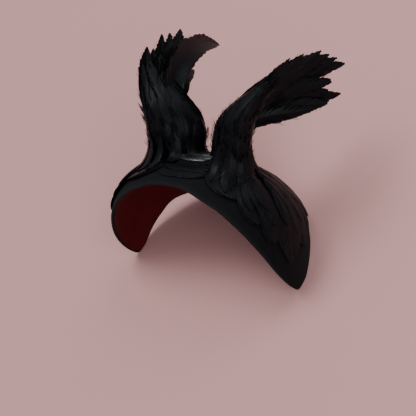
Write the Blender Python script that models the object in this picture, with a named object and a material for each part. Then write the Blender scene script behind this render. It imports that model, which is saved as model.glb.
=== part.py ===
"""Felt half hat with feather plumes: one closed solid for each piece.

The hat is designed as it is worn: X towards the face, Y to the wearer's left, Z up, with the origin at the
middle of the dome. Places on the dome are read in degrees from the crown: fore (towards the face) and side
(towards the wearer's left). One empty then turns the whole hat back until it rests on its two lobes and on
the middle of its back edge, and sets the middle of its box over the origin, on the floor.
"""

import math

import bmesh
import bpy
import numpy as np
from mathutils import Vector

MM = 0.001

# Dome of the felt, half sizes of an ellipsoid
DOME_FRONT = 108 * MM
DOME_BACK = 105 * MM
DOME_SIDE = 85 * MM
DOME_RISE = 80.5 * MM

# How far the blocked shape stands off that ellipsoid: over the crown, on the shoulders, and down at the back
CROWN_SWELL = 4 * MM
SHOULDER_SWELL = 5.5 * MM
SHOULDER_SPAN = 100.0
SHOULDER_BIAS = 0.9
BACK_DROP = 12 * MM
BACK_DROP_START = 2.0
BACK_DROP_RUN = 25.0
BACK_DROP_SPAN = 58.0

# Reach of the felt from the crown, in degrees
FRONT_REACH = 27.6
BACK_REACH = 50.0
LOBE_REACH = 97.5

# Walls and gaps
FELT_WALL = 2.2 * MM
LINING_WALL = 0.9 * MM
LINING_SETBACK = 1.6
SEAM_GAP = 0.4 * MM
FEATHER_GAP = 0.55 * MM
REST_PRESS = 0.7 * MM
TILT_STEPS = 12

# Plumes: the foot of each bunch on the dome, in degrees, and the sizes of its bound stem
FOOT_FORE = 1.6
FOOT_SIDE = 17.8
STEM_FOOT_RADIUS = 12 * MM
STEM_HEIGHT = 74 * MM
PLUME_HEIGHT = 92 * MM
PLUME_SWEEP = 105 * MM
PLUME_SPLAY = 68 * MM
LEAF_LENGTH = 54 * MM
LEAF_HALF_WIDTH = 10 * MM
PLUME_VANE = 1.3 * MM
PLUME_HALF_WIDTH = 9 * MM

# Where a long feather leaves the stem, as shares of its foot radius, how far before its tip the curve is
# pulled straight, as a share of its reach, and how its flat side turns along it
ROOT_RISE = 0.9
ROOT_SPREAD = 0.3
TIP_PULL = 0.36
VANE_TWIST = 0.35

# A bunch is broader one way: how much, and the heading of its broad way from the face to the outside
BUNCH_BREADTH = 1.75
BUNCH_HEADING = math.radians(49)

# Feathers that lie on the felt
WING_LENGTH = 50.0
WING_HALF_WIDTH = 9 * MM
WING_LOFT = 2.9 * MM
CROWN_LOFT = 3.0 * MM
CROWN_HALF_WIDTH = 5.5 * MM
LYING_VANE = 1.1 * MM

# Backings under them: thickness at their edges as a share of LYING_VANE, how much of the loft they fill, how
# that fades down the side, and how far the crown's stays inside the feathers' ends
BACKING_EDGE = 0.7
BACKING_FADE = 0.35
WING_FILL = 0.45
CROWN_FILL = 0.6
CROWN_INSET = 0.94

# Bow of a side feather and slant of a crown feather in degrees, and how a crown feather falls to its tip
WING_BOW = 1.0
CROWN_SLANT = 0.5
CROWN_FALL = 0.7

# Counts of points along and across the pieces
FELT_GRID = (37, 13)
EDGE_GRID = (121, 3)
WING_GRID = (11, 9)
CROWN_GRID = (17, 5)
SPINE_POINTS = 9
STEM_SIDES = 14

# Edge of the felt: turn round the dome from the crown line to the lobe tip, in degrees, then the front
# reach and the back reach as shares of FRONT_REACH and BACK_REACH
EDGE_COLUMNS = ("turn", "front", "back")
EDGE_ROWS = (
    (0, 1.000, 1.000),
    (7, 1.000, 0.990),
    (14, 1.030, 0.924),
    (21, 1.005, 0.826),
    (28, 0.980, 0.720),
    (35, 0.920, 0.605),
    (41, 0.850, 0.520),
    (45, 0.790, 0.496),
    (51, 0.690, 0.448),
    (57, 0.570, 0.402),
    (65, 0.366, 0.352),
    (74, 0.116, 0.286),
    (82, -0.105, 0.205),
    (90, -0.240, 0.133),
)
LAST_TURN = 84.0

# Long feathers of a plume: the tip's place as shares of PLUME_SWEEP (back), PLUME_SPLAY (out) and
# PLUME_HEIGHT (up, from the dome's top), the half width as a share of PLUME_HALF_WIDTH, the slope at the tip in
# degrees, how far the feather rises before it bends as a share of its reach, its lean to the face and its
# flare to the outside as it rises, and its seat on the stem from the face (1) to the back (-1)
PLUME_COLUMNS = ("back", "out", "up", "width", "slope", "lift", "lean", "flare", "seat")
LEFT_PLUME_ROWS = (
    (0.13, 1.00, 0.97, 0.80, 44, 0.38, 0.28, 0.34, 1.00),
    (0.33, 1.00, 0.97, 1.00, 32, 0.38, 0.25, 0.28, 0.75),
    (0.54, 1.00, 0.98, 1.05, 22, 0.39, 0.20, 0.22, 0.50),
    (0.68, 0.99, 0.92, 1.05, 12, 0.41, 0.17, 0.16, 0.25),
    (0.89, 0.98, 0.82, 1.15, 4, 0.42, 0.15, 0.10, 0.00),
    (0.76, 1.02, 0.70, 1.10, 8, 0.44, 0.10, 0.05, -0.25),
    (0.81, 1.03, 0.56, 1.10, 6, 0.44, 0.05, 0.00, -0.50),
    (0.64, 1.02, 0.50, 1.05, 4, 0.44, 0.00, -0.04, -0.75),
    (0.40, 0.98, 0.46, 0.95, 6, 0.44, -0.06, -0.06, -1.00),
)
RIGHT_PLUME_ROWS = (
    (0.04, 0.98, 0.90, 1.10, 108, 0.50, 0.66, 0.50, 1.00),
    (0.18, 1.00, 1.00, 1.15, 92, 0.52, 0.56, 0.40, 0.75),
    (0.27, 1.00, 1.05, 1.10, 72, 0.54, 0.46, 0.30, 0.50),
    (0.46, 1.00, 1.06, 1.15, 48, 0.56, 0.38, 0.20, 0.25),
    (0.70, 1.00, 0.95, 1.10, -2, 0.61, 0.30, 0.14, 0.00),
    (0.95, 0.99, 0.86, 0.95, -20, 0.66, 0.26, 0.12, -0.25),
    (0.58, 0.92, 0.69, 0.62, 10, 0.54, 0.16, 0.10, -0.50),
    (0.53, 0.92, 0.61, 0.60, 4, 0.52, 0.12, 0.08, -0.75),
    (0.30, 0.80, 0.46, 0.75, 10, 0.46, 0.06, 0.04, -1.00),
)

# Short feathers round a stem: turn in degrees from the broad way of the bunch, height as a share of LEAF_LENGTH
LEAF_COLUMNS = ("turn", "height")
LEAF_ROWS = (
    (30, 0.85),
    (90, 0.75),
    (150, 0.80),
    (210, 0.66),
    (270, 0.62),
    (330, 0.74),
)

# Curve of a short feather: shares of STEM_FOOT_RADIUS outwards and of its height upwards
LEAF_PROFILE = ((0.70, 0.05), (1.12, 0.30), (1.20, 0.72), (0.95, 1.00))

# Stem of a plume: height, radius, lean forward and lean outward as shares of STEM_HEIGHT, STEM_FOOT_RADIUS,
# PLUME_SWEEP and PLUME_SPLAY
STEM_COLUMNS = ("height", "radius", "forward", "outward")
STEM_ROWS = (
    (0.12, 0.98, 0.01, 0.00),
    (0.36, 1.02, 0.02, 0.02),
    (0.55, 0.90, 0.03, 0.12),
    (0.75, 0.62, 0.01, 0.30),
    (1.00, 0.24, -0.06, 0.52),
)

# Feathers over one side: root and tip as fore degrees and as shares of WING_LENGTH past the foot, then the
# half width, the height of the root and the height of the tip as shares of WING_HALF_WIDTH and WING_LOFT
WING_COLUMNS = ("root_fore", "root_side", "tip_fore", "tip_side", "width", "root_height", "tip_height")
WING_ROWS = (
    (2, 0.68, 6, 1.26, 0.90, 0.40, 0.24),
    (-4, 0.62, 3, 1.20, 0.95, 0.44, 0.26),
    (9, 0.58, 14, 0.98, 0.85, 0.42, 0.26),
    (-8, 0.60, -8, 1.14, 0.90, 0.52, 0.34),
    (-15, 0.54, -20, 0.88, 0.85, 0.45, 0.26),
    (-20, 0.36, -30, 0.70, 0.90, 0.45, 0.26),
    (-27, 0.18, -38, 0.46, 0.90, 0.45, 0.26),
    (10, 0.22, 18, 0.74, 0.90, 0.62, 0.32),
    (4, 0.24, 11, 0.84, 0.95, 0.75, 0.48),
    (-3, 0.22, -2, 0.80, 1.00, 0.85, 0.62),
    (-10, 0.12, -22, 0.80, 0.95, 0.95, 0.72),
    (-16, 0.06, -31, 0.50, 0.95, 0.72, 0.50),
    (-19, -0.04, -38, 0.22, 0.90, 0.55, 0.40),
    (14, -0.04, 18, 0.42, 0.80, 0.60, 0.36),
    (7, 0.20, 9, 0.54, 0.80, 1.00, 0.85),
    (-6, 0.20, -12, 0.56, 0.85, 1.15, 0.98),
)

# Backing of the side feathers: share of WING_LENGTH past the foot, then its back and front limits in degrees
WING_BACKING_COLUMNS = ("side", "back", "front")
WING_BACKING_ROWS = (
    (0.19, -26, 15),
    (0.35, -29, 17),
    (0.55, -27, 18),
    (0.75, -22, 16),
    (0.95, -15, 12),
    (1.10, -8, 6),
)

# Feathers across the crown: fore degrees, reach to each side as a share of the foot's side, height as a share
# of CROWN_LOFT
CROWN_COLUMNS = ("fore", "reach", "height")
CROWN_ROWS = (
    (17.5, 0.74, 0.50),
    (14.0, 0.74, 0.66),
    (9.0, 0.55, 0.80),
    (4.5, 0.52, 1.00),
    (-0.5, 0.52, 0.86),
    (-5.5, 0.52, 0.70),
    (-11.0, 0.66, 0.62),
    (-16.0, 0.74, 0.50),
)

# Width of a feather along its length, as shares of its half width
VANE_COLUMNS = ("along", "width")
VANE_ROWS = (
    (0.00, 0.30),
    (0.14, 0.62),
    (0.36, 0.92),
    (0.62, 1.00),
    (0.84, 0.80),
    (0.96, 0.36),
)

# Colours, roughness
FELT_FINISH = ((0.012, 0.012, 0.014, 1), 0.95)
LINING_FINISH = ((0.16, 0.006, 0.012, 1), 0.70)
FEATHER_FINISH = ((0.008, 0.008, 0.010, 1), 0.45)


def column(rows, columns, name):
    """One named column of a table, as an array."""
    return np.array([row[columns.index(name)] for row in rows], dtype=float)


def named_rows(rows, columns):
    """Rows of a table, each as a dictionary from column name to value."""
    return [dict(zip(columns, row)) for row in rows]


def smooth_read(places, values, at):
    """Reads a table between its rows along a smooth curve, by cubic pieces with shared slopes."""
    slopes = np.gradient(values, places)
    at = np.clip(at, places[0], places[-1])
    piece = np.clip(np.searchsorted(places, at, side="right") - 1, 0, len(places) - 2)
    span = places[piece + 1] - places[piece]
    t = (at - places[piece]) / span
    rise = values[piece + 1] - values[piece]
    bend = (1 - t) * (slopes[piece] * span - rise) - t * (slopes[piece + 1] * span - rise)
    return values[piece] + t * rise + t * (1 - t) * bend


def felt_reach(side):
    """Front and back reach of the felt, in degrees from the crown line, at a side angle."""
    turn = np.degrees(np.arcsin(np.clip(np.abs(side) / LOBE_REACH, 0, 1)))
    turns = column(EDGE_ROWS, EDGE_COLUMNS, "turn")
    front = FRONT_REACH * smooth_read(turns, column(EDGE_ROWS, EDGE_COLUMNS, "front"), turn)
    back = -BACK_REACH * smooth_read(turns, column(EDGE_ROWS, EDGE_COLUMNS, "back"), turn)
    return front, back


def dome_point(fore, side, proud):
    """Points over the felt's outer face, a distance proud of it, at angles fore and side from the crown."""
    fore, side, proud = np.broadcast_arrays(np.asarray(fore, float), np.asarray(side, float), proud)
    front, back = felt_reach(side)
    across = np.clip((2 * fore - front - back) / (front - back), -1, 1)
    crown = CROWN_SWELL * (1 - across**2) * (1 - (side / LOBE_REACH) ** 2)
    shoulder = np.sin(math.pi * np.clip(np.abs(side) / SHOULDER_SPAN, 0, 1)) ** 2
    shoulder = SHOULDER_SWELL * shoulder * (1 - across**2) * (1 + SHOULDER_BIAS * across)
    run = np.clip((BACK_DROP_START - fore) / BACK_DROP_RUN, 0, 1)
    drop = run * run * (3 - 2 * run) * np.cos(math.pi / 2 * np.clip(np.abs(side) / BACK_DROP_SPAN, 0, 1))
    height = proud + crown + shoulder - BACK_DROP * drop
    polar = np.radians(np.hypot(fore, side))
    heading = np.arctan2(side, fore)
    forward = np.sin(polar) * np.cos(heading)
    length = np.where(forward >= 0, DOME_FRONT, DOME_BACK)
    return np.stack(
        (
            (length + height) * forward,
            (DOME_SIDE + height) * np.sin(polar) * np.sin(heading),
            (DOME_RISE + height) * np.cos(polar),
        ),
        axis=-1,
    )


def felt_rows(setback, proud, grid=FELT_GRID):
    """Grid of points over the felt, from lobe to lobe, set back from its edges by some degrees."""
    row_count, column_count = grid
    turn = np.linspace(-LAST_TURN, LAST_TURN, row_count)
    side = (LOBE_REACH - setback) * np.sin(np.radians(turn))
    front, back = felt_reach(side)
    share = np.linspace(0, 1, column_count)
    fore = (back + setback)[:, None] + (front - back - 2 * setback)[:, None] * share[None, :]
    return dome_point(fore, side[:, None], proud)


def rest_direction():
    """Finds how far the hat leans back at rest, and the level of the floor under it, in the worn frame."""
    points = felt_rows(0, -FELT_WALL / 2, EDGE_GRID)[:, 0]
    lobe = points[np.abs(points[:, 1]) > DOME_SIDE / 2]
    middle = points[np.abs(points[:, 1]) < DOME_SIDE / 4]
    tilt = math.pi / 4
    for _ in range(TILT_STEPS):
        up = np.array((math.sin(tilt), 0, math.cos(tilt)))
        lobe_low = lobe[np.argmin(lobe @ up)]
        middle_low = middle[np.argmin(middle @ up)]
        tilt = math.atan2(middle_low[2] - lobe_low[2], lobe_low[0] - middle_low[0])
    up = np.array((math.sin(tilt), 0, math.cos(tilt)))
    return tilt, up, min((lobe @ up).min(), (middle @ up).min()) + REST_PRESS


REST_TILT, REST_UP, REST_LEVEL = rest_direction()


def flatten(points):
    """Lifts what would go under the floor up to it, as felt gives where it rests."""
    depth = np.clip(REST_LEVEL - points @ REST_UP, 0, None)
    return points + depth[..., None] * REST_UP


def make_material(name, finish):
    """A Principled material with the finish's colour and roughness."""
    colour, roughness = finish
    material = bpy.data.materials.new(name)
    material.use_nodes = True
    shader = material.node_tree.nodes["Principled BSDF"]
    shader.inputs["Base Color"].default_value = colour
    shader.inputs["Roughness"].default_value = roughness
    shader.inputs["Metallic"].default_value = 0
    material.diffuse_color = colour
    return material


def mesh_from(name, points, faces):
    """A mesh with its faces turned outwards."""
    mesh = bpy.data.meshes.new(name)
    mesh.from_pydata([tuple(point) for point in points], [], faces)
    work = bmesh.new()
    work.from_mesh(mesh)
    bmesh.ops.recalc_face_normals(work, faces=work.faces)
    bmesh.ops.triangulate(work, faces=work.faces)
    work.to_mesh(mesh)
    work.free()
    return mesh


def add_object(name, mesh, material, parent):
    """One named piece, held by the empty that sets the hat down."""
    piece = bpy.data.objects.new(name, mesh)
    bpy.context.collection.objects.link(piece)
    mesh.materials.clear()
    mesh.materials.append(material)
    piece.parent = parent
    return piece


def slab(name, upper, lower):
    """Closed wall between two grids of the same size."""
    rows, columns = upper.shape[:2]
    count = rows * columns
    index = np.arange(count).reshape(rows, columns)
    faces = []
    for row in range(rows - 1):
        for step in range(columns - 1):
            corner = (index[row, step], index[row, step + 1], index[row + 1, step + 1], index[row + 1, step])
            faces.append(tuple(int(value) for value in corner))
            faces.append(tuple(int(value + count) for value in reversed(corner)))
    rim = list(index[0, :]) + list(index[1:, -1]) + list(index[-1, -2::-1]) + list(index[-2:0:-1, 0])
    for first, second in zip(rim, rim[1:] + rim[:1]):
        faces.append((int(first), int(first + count), int(second + count), int(second)))
    points = np.concatenate((upper.reshape(-1, 3), lower.reshape(-1, 3)))
    return mesh_from(name, points, faces)


def blade(name, spine, across, normal, half_width, thickness):
    """One feather: a thin lens-shaped bar along its spine, pointed at both ends."""
    along = column(VANE_ROWS, VANE_COLUMNS, "along")
    width = half_width * column(VANE_ROWS, VANE_COLUMNS, "width")[:, None]
    places = np.linspace(0, 1, len(spine))
    centre = np.stack([np.interp(along, places, spine[:, axis]) for axis in range(3)], axis=1)
    side = np.stack([np.interp(along, places, across[:, axis]) for axis in range(3)], axis=1)
    face = np.stack([np.interp(along, places, normal[:, axis]) for axis in range(3)], axis=1)
    ring = np.stack(
        (centre - side * width, centre + face * thickness / 2, centre + side * width, centre - face * thickness / 2),
        axis=1,
    )
    points = np.concatenate((ring.reshape(-1, 3), spine[:1], spine[-1:]))
    stations = len(along)
    faces = []
    for station in range(stations - 1):
        for corner in range(4):
            low = 4 * station
            following = (corner + 1) % 4
            faces.append((low + corner, low + following, low + 4 + following, low + 4 + corner))
    root = 4 * stations
    for corner in range(4):
        following = (corner + 1) % 4
        faces.append((following, corner, root))
        faces.append((root - 4 + corner, root - 4 + following, root + 1))
    return mesh_from(name, points, faces)


def fused(name, body, blades):
    """Body and blades joined into one outer skin, without the small pockets shut in between them."""
    joined = bmesh.new()
    for mesh in blades:
        joined.from_mesh(mesh)
    blade_mesh = bpy.data.meshes.new(name + "_blades")
    joined.to_mesh(blade_mesh)
    joined.free()
    blade_guide = bpy.data.objects.new(name + "_blades", blade_mesh)
    base = bpy.data.objects.new(name + "_base", body)
    for guide in (base, blade_guide):
        bpy.context.collection.objects.link(guide)
    union = base.modifiers.new("union", "BOOLEAN")
    union.operation = "UNION"
    union.solver = "EXACT"
    union.use_self = True
    union.object = blade_guide
    graph = bpy.context.evaluated_depsgraph_get()
    whole = bpy.data.meshes.new_from_object(base.evaluated_get(graph))
    for guide in (base, blade_guide):
        bpy.data.objects.remove(guide)
    return outer_skin(whole)


def outer_skin(mesh):
    """Keeps the largest connected skin of a mesh."""
    work = bmesh.new()
    work.from_mesh(mesh)
    bmesh.ops.triangulate(work, faces=work.faces)
    unseen = set(work.verts)
    skins = []
    while unseen:
        start = unseen.pop()
        skin = {start}
        reach = [start]
        while reach:
            for edge in reach.pop().link_edges:
                for vertex in edge.verts:
                    if vertex in unseen:
                        unseen.remove(vertex)
                        skin.add(vertex)
                        reach.append(vertex)
        skins.append(skin)
    largest = max(skins, key=len)
    spare = [vertex for skin in skins if skin is not largest for vertex in skin]
    bmesh.ops.delete(work, geom=spare, context="VERTS")
    work.to_mesh(mesh)
    work.free()
    return mesh


def unit(vectors):
    """Vectors scaled to length one."""
    return vectors / np.linalg.norm(vectors, axis=-1, keepdims=True)


def lying_blade(name, ends, heights, half_width, bow):
    """A feather that follows the dome from its root to its tip, both as fore and side angles."""
    (root_fore, root_side), (tip_fore, tip_side) = ends
    t = np.linspace(0, 1, SPINE_POINTS)
    fore = root_fore + (tip_fore - root_fore) * t + bow * 4 * t * (1 - t)
    side = root_side + (tip_side - root_side) * t
    height = heights[0] + (heights[1] - heights[0]) * t
    spine = dome_point(fore, side, height)
    normal = unit(dome_point(fore, side, height + MM) - spine)
    across = unit(np.cross(np.gradient(spine, axis=0), normal))
    return blade(name, flatten(spine), across, normal, half_width, LYING_VANE)


def curve_points(controls, count):
    """Points along a cubic curve from its four controls."""
    t = np.linspace(0, 1, count)[:, None]
    first, second, third, fourth = controls
    return (
        (1 - t) ** 3 * first + 3 * t * (1 - t) ** 2 * second + 3 * t**2 * (1 - t) * third + t**3 * fourth
    )


def plume_foot(hand):
    """Middle of a plume's foot on the felt, hand is 1 on the wearer's left and -1 on the right."""
    return dome_point(FOOT_FORE, hand * FOOT_SIDE, FEATHER_GAP)


def round_bunch(turn, hand):
    """Offsets round the section of a bunch, for a radius of one on its narrow way."""
    broad = np.array((math.cos(BUNCH_HEADING), hand * math.sin(BUNCH_HEADING), 0))
    narrow = np.array((-math.sin(BUNCH_HEADING), hand * math.cos(BUNCH_HEADING), 0))
    return BUNCH_BREADTH * np.cos(turn)[..., None] * broad + np.sin(turn)[..., None] * narrow


def long_feather(name, row, hand):
    """A feather that rises with the stem and sweeps back and out to its tip."""
    foot = plume_foot(hand)
    tip = np.array(
        (
            -row["back"] * PLUME_SWEEP,
            hand * row["out"] * PLUME_SPLAY,
            DOME_RISE + row["up"] * PLUME_HEIGHT,
        )
    )
    root = foot + np.array((ROOT_SPREAD * row["seat"], 0, ROOT_RISE)) * STEM_FOOT_RADIUS
    slope = math.radians(row["slope"])
    heading = tip - root
    heading[2] = 0
    heading = unit(heading) * math.cos(slope)
    heading[2] = math.sin(slope)
    reach = np.linalg.norm(tip - root)
    lift = unit(np.array((row["lean"], hand * row["flare"], 1.0))) * reach * row["lift"]
    spine = curve_points((root, root + lift, tip - heading * reach * TIP_PULL, tip), SPINE_POINTS)
    t = np.linspace(0, 1, SPINE_POINTS)[:, None]
    root_normal = unit(np.array((VANE_TWIST * row["seat"], hand, 0.0)))
    tip_normal = unit(np.array((0.0, hand, -VANE_TWIST)))
    tangent = unit(np.gradient(spine, axis=0))
    normal = (1 - t) * root_normal + t * tip_normal
    normal = unit(normal - np.sum(normal * tangent, axis=1, keepdims=True) * tangent)
    across = np.cross(tangent, normal)
    return blade(name, spine, across, normal, row["width"] * PLUME_HALF_WIDTH, PLUME_VANE)


def leaf_feather(name, row, hand):
    """A short broad feather that hugs the stem, at a turn round it."""
    foot = plume_foot(hand)
    outward = round_bunch(np.array(math.radians(row["turn"])), hand)
    height = row["height"] * LEAF_LENGTH
    controls = [
        foot + outward * out * STEM_FOOT_RADIUS + np.array((0, 0, up * height)) for out, up in LEAF_PROFILE
    ]
    spine = curve_points(controls, SPINE_POINTS)
    tangent = unit(np.gradient(spine, axis=0))
    across = unit(np.cross(tangent, outward))
    normal = np.cross(across, tangent)
    return blade(name, spine, across, normal, LEAF_HALF_WIDTH, PLUME_VANE)


def stem_mesh(name, hand):
    """Bound stem: rings that start on the felt and close to a point among the long feathers."""
    turn = np.linspace(0, 2 * math.pi, STEM_SIDES, endpoint=False)
    fore_reach = math.degrees(STEM_FOOT_RADIUS / DOME_FRONT)
    side_reach = math.degrees(STEM_FOOT_RADIUS / DOME_SIDE)
    foot_ring = dome_point(
        FOOT_FORE + fore_reach * np.cos(turn), hand * FOOT_SIDE + side_reach * np.sin(turn), FEATHER_GAP
    )
    foot = plume_foot(hand)
    rings = [foot_ring]
    for row in named_rows(STEM_ROWS, STEM_COLUMNS):
        middle = foot + np.array(
            (
                row["forward"] * PLUME_SWEEP,
                hand * row["outward"] * PLUME_SPLAY,
                row["height"] * STEM_HEIGHT,
            )
        )
        ring = round_bunch(turn * hand - BUNCH_HEADING, hand) * row["radius"] * STEM_FOOT_RADIUS
        rings.append(middle + ring)
    points = np.concatenate(rings + [foot[None], (rings[-1].mean(axis=0) + (0, 0, MM))[None]])
    faces = []
    for level in range(len(rings) - 1):
        low = level * STEM_SIDES
        for corner in range(STEM_SIDES):
            following = (corner + 1) % STEM_SIDES
            faces.append(
                (low + corner, low + following, low + STEM_SIDES + following, low + STEM_SIDES + corner)
            )
    base = len(rings) * STEM_SIDES
    for corner in range(STEM_SIDES):
        following = (corner + 1) % STEM_SIDES
        faces.append((following, corner, base))
        faces.append((base - STEM_SIDES + corner, base - STEM_SIDES + following, base + 1))
    return mesh_from(name, points, faces)


def plume_mesh(name, rows, hand):
    """One ear plume: stem, short feathers round it and long feathers that sweep back."""
    blades = []
    for number, row in enumerate(named_rows(rows, PLUME_COLUMNS)):
        blades.append(long_feather(f"{name}_long_{number}", row, hand))
    for number, row in enumerate(named_rows(LEAF_ROWS, LEAF_COLUMNS)):
        blades.append(leaf_feather(f"{name}_leaf_{number}", row, hand))
    return fused(name, stem_mesh(name + "_stem", hand), blades)


def backing_loft(middle, height):
    """Top of a backing over its width, from its thin edges to its middle."""
    return FEATHER_GAP + BACKING_EDGE * LYING_VANE + (height - LYING_VANE) * middle


def wing_backing(name, hand):
    """Thin backing under the side feathers, thicker towards the plume."""
    rows, columns = WING_GRID
    sides = column(WING_BACKING_ROWS, WING_BACKING_COLUMNS, "side")
    share = np.linspace(sides[0], sides[-1], rows)
    back = smooth_read(sides, column(WING_BACKING_ROWS, WING_BACKING_COLUMNS, "back"), share)
    front = smooth_read(sides, column(WING_BACKING_ROWS, WING_BACKING_COLUMNS, "front"), share)
    side = hand * (FOOT_SIDE + share * WING_LENGTH)[:, None]
    fore = back[:, None] + (front - back)[:, None] * np.linspace(0, 1, columns)[None, :]
    middle = 1 - np.linspace(-1, 1, columns)[None, :] ** 2
    fade = np.linspace(1, BACKING_FADE, rows)[:, None]
    loft = backing_loft(WING_FILL * middle * fade, WING_LOFT)
    return slab(name, dome_point(fore, side, loft), dome_point(fore, side, FEATHER_GAP))


def wing_mesh(name, hand):
    """Feathers over one side of the head, like tiles over their backing."""
    blades = []
    low = FEATHER_GAP + LYING_VANE / 2
    for number, row in enumerate(named_rows(WING_ROWS, WING_COLUMNS)):
        root = (row["root_fore"], hand * (FOOT_SIDE + row["root_side"] * WING_LENGTH))
        tip = (row["tip_fore"], hand * (FOOT_SIDE + row["tip_side"] * WING_LENGTH))
        blades.append(
            lying_blade(
                f"{name}_{number}",
                (root, tip),
                (low + row["root_height"] * WING_LOFT, low + row["tip_height"] * WING_LOFT),
                row["width"] * WING_HALF_WIDTH,
                WING_BOW,
            )
        )
    return fused(name, wing_backing(name + "_backing", hand), blades)


def crown_mesh(name):
    """Feathers laid across the crown between the two plumes."""
    rows, columns = CROWN_GRID
    fore_row = column(CROWN_ROWS, CROWN_COLUMNS, "fore")[::-1]
    reach_row = column(CROWN_ROWS, CROWN_COLUMNS, "reach")[::-1]
    fore = np.linspace(fore_row[0], fore_row[-1], rows)
    reach = np.interp(fore, fore_row, reach_row) * FOOT_SIDE * CROWN_INSET
    side = reach[:, None] * np.linspace(-1, 1, columns)[None, :]
    middle = 1 - np.linspace(-1, 1, columns)[None, :] ** 2
    backing = slab(
        name + "_backing",
        dome_point(fore[:, None], side, backing_loft(CROWN_FILL * middle, CROWN_LOFT)),
        dome_point(fore[:, None], side, FEATHER_GAP),
    )
    blades = []
    low = FEATHER_GAP + LYING_VANE / 2
    for number, row in enumerate(named_rows(CROWN_ROWS, CROWN_COLUMNS)):
        hand = 1 if number % 2 else -1
        end = hand * row["reach"] * FOOT_SIDE
        height = row["height"] * CROWN_LOFT
        blades.append(
            lying_blade(
                f"{name}_{number}",
                ((row["fore"] - CROWN_SLANT, -end), (row["fore"] + CROWN_SLANT, end)),
                (low + height, low + CROWN_FALL * height),
                CROWN_HALF_WIDTH,
                0,
            )
        )
    return fused(name, backing, blades)


def clear_scene():
    """Starts from an empty scene."""
    for item in list(bpy.data.objects):
        bpy.data.objects.remove(item)


def set_down(rest, pieces):
    """Turns the hat back to its resting tilt and puts the middle of its box over the origin."""
    rest.rotation_euler = (0, -REST_TILT, 0)
    bpy.context.view_layer.update()
    corners = np.array([piece.matrix_world @ vertex.co for piece in pieces for vertex in piece.data.vertices])
    low, high = corners.min(axis=0), corners.max(axis=0)
    rest.location = Vector((-(low[0] + high[0]) / 2, -(low[1] + high[1]) / 2, -low[2]))
    bpy.context.view_layer.update()


def main():
    """Builds every piece, then sets the hat down."""
    clear_scene()
    felt = make_material("felt", FELT_FINISH)
    red = make_material("lining", LINING_FINISH)
    feather = make_material("feather", FEATHER_FINISH)
    rest = bpy.data.objects.new("rest_pose", None)
    bpy.context.collection.objects.link(rest)

    shell = slab("felt_base", flatten(felt_rows(0, 0)), flatten(felt_rows(0, -FELT_WALL)))
    lining_top = -FELT_WALL - SEAM_GAP
    inner = slab(
        "lining",
        flatten(felt_rows(LINING_SETBACK, lining_top)),
        flatten(felt_rows(LINING_SETBACK, lining_top - LINING_WALL)),
    )
    pieces = [
        add_object("felt_base", shell, felt, rest),
        add_object("lining", inner, red, rest),
        add_object("crown_feathers", crown_mesh("crown_feathers"), feather, rest),
    ]
    for label, hand, rows in (("left", 1, LEFT_PLUME_ROWS), ("right", -1, RIGHT_PLUME_ROWS)):
        plume = f"ear_plume_{label}"
        wing = f"wing_feathers_{label}"
        pieces.append(add_object(plume, plume_mesh(plume, rows, hand), feather, rest))
        pieces.append(add_object(wing, wing_mesh(wing, hand), feather, rest))
    set_down(rest, pieces)


main()
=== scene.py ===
"""Looks of a felt half hat with two feather plumes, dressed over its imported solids.

The pieces are worked out in the worn frame: X to the face, Y to the wearer's left, Z up, with the origin at
the middle of the dome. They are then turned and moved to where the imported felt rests. Places on the dome are
given in degrees from the crown: fore, towards the face, and side, towards the wearer's left.
"""

from __future__ import annotations

import logging
import math
from dataclasses import dataclass, field
from enum import Enum

import bpy
import numpy as np
from mathutils import Matrix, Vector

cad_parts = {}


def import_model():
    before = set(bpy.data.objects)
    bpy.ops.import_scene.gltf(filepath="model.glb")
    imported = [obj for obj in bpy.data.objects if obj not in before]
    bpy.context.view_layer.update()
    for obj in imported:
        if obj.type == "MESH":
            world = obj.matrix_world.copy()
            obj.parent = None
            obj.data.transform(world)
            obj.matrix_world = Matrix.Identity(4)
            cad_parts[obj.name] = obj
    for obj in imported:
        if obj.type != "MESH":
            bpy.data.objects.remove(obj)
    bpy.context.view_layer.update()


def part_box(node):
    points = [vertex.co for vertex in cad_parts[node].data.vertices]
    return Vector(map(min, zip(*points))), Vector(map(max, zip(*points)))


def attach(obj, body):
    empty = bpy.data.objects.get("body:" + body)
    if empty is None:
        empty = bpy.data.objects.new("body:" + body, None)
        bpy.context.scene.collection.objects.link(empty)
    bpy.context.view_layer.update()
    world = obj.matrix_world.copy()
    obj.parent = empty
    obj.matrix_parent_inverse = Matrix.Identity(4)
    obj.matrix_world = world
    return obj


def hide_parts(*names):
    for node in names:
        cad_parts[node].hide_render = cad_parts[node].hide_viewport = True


MM = 0.001
BODY = "root"
IMAGE_SIZE = 416

Array = np.ndarray
log = logging.getLogger("half_hat")


class Hand(Enum):
    """The wearer's side that a piece is on."""

    LEFT = 1
    RIGHT = -1

    @property
    def label(self) -> str:
        """Name of the side in plain letters."""
        return self.name.lower()


class Slot(Enum):
    """Material slots of the record."""

    FELT = "felt"
    LINING = "lining"
    FEATHER = "feather"


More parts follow.
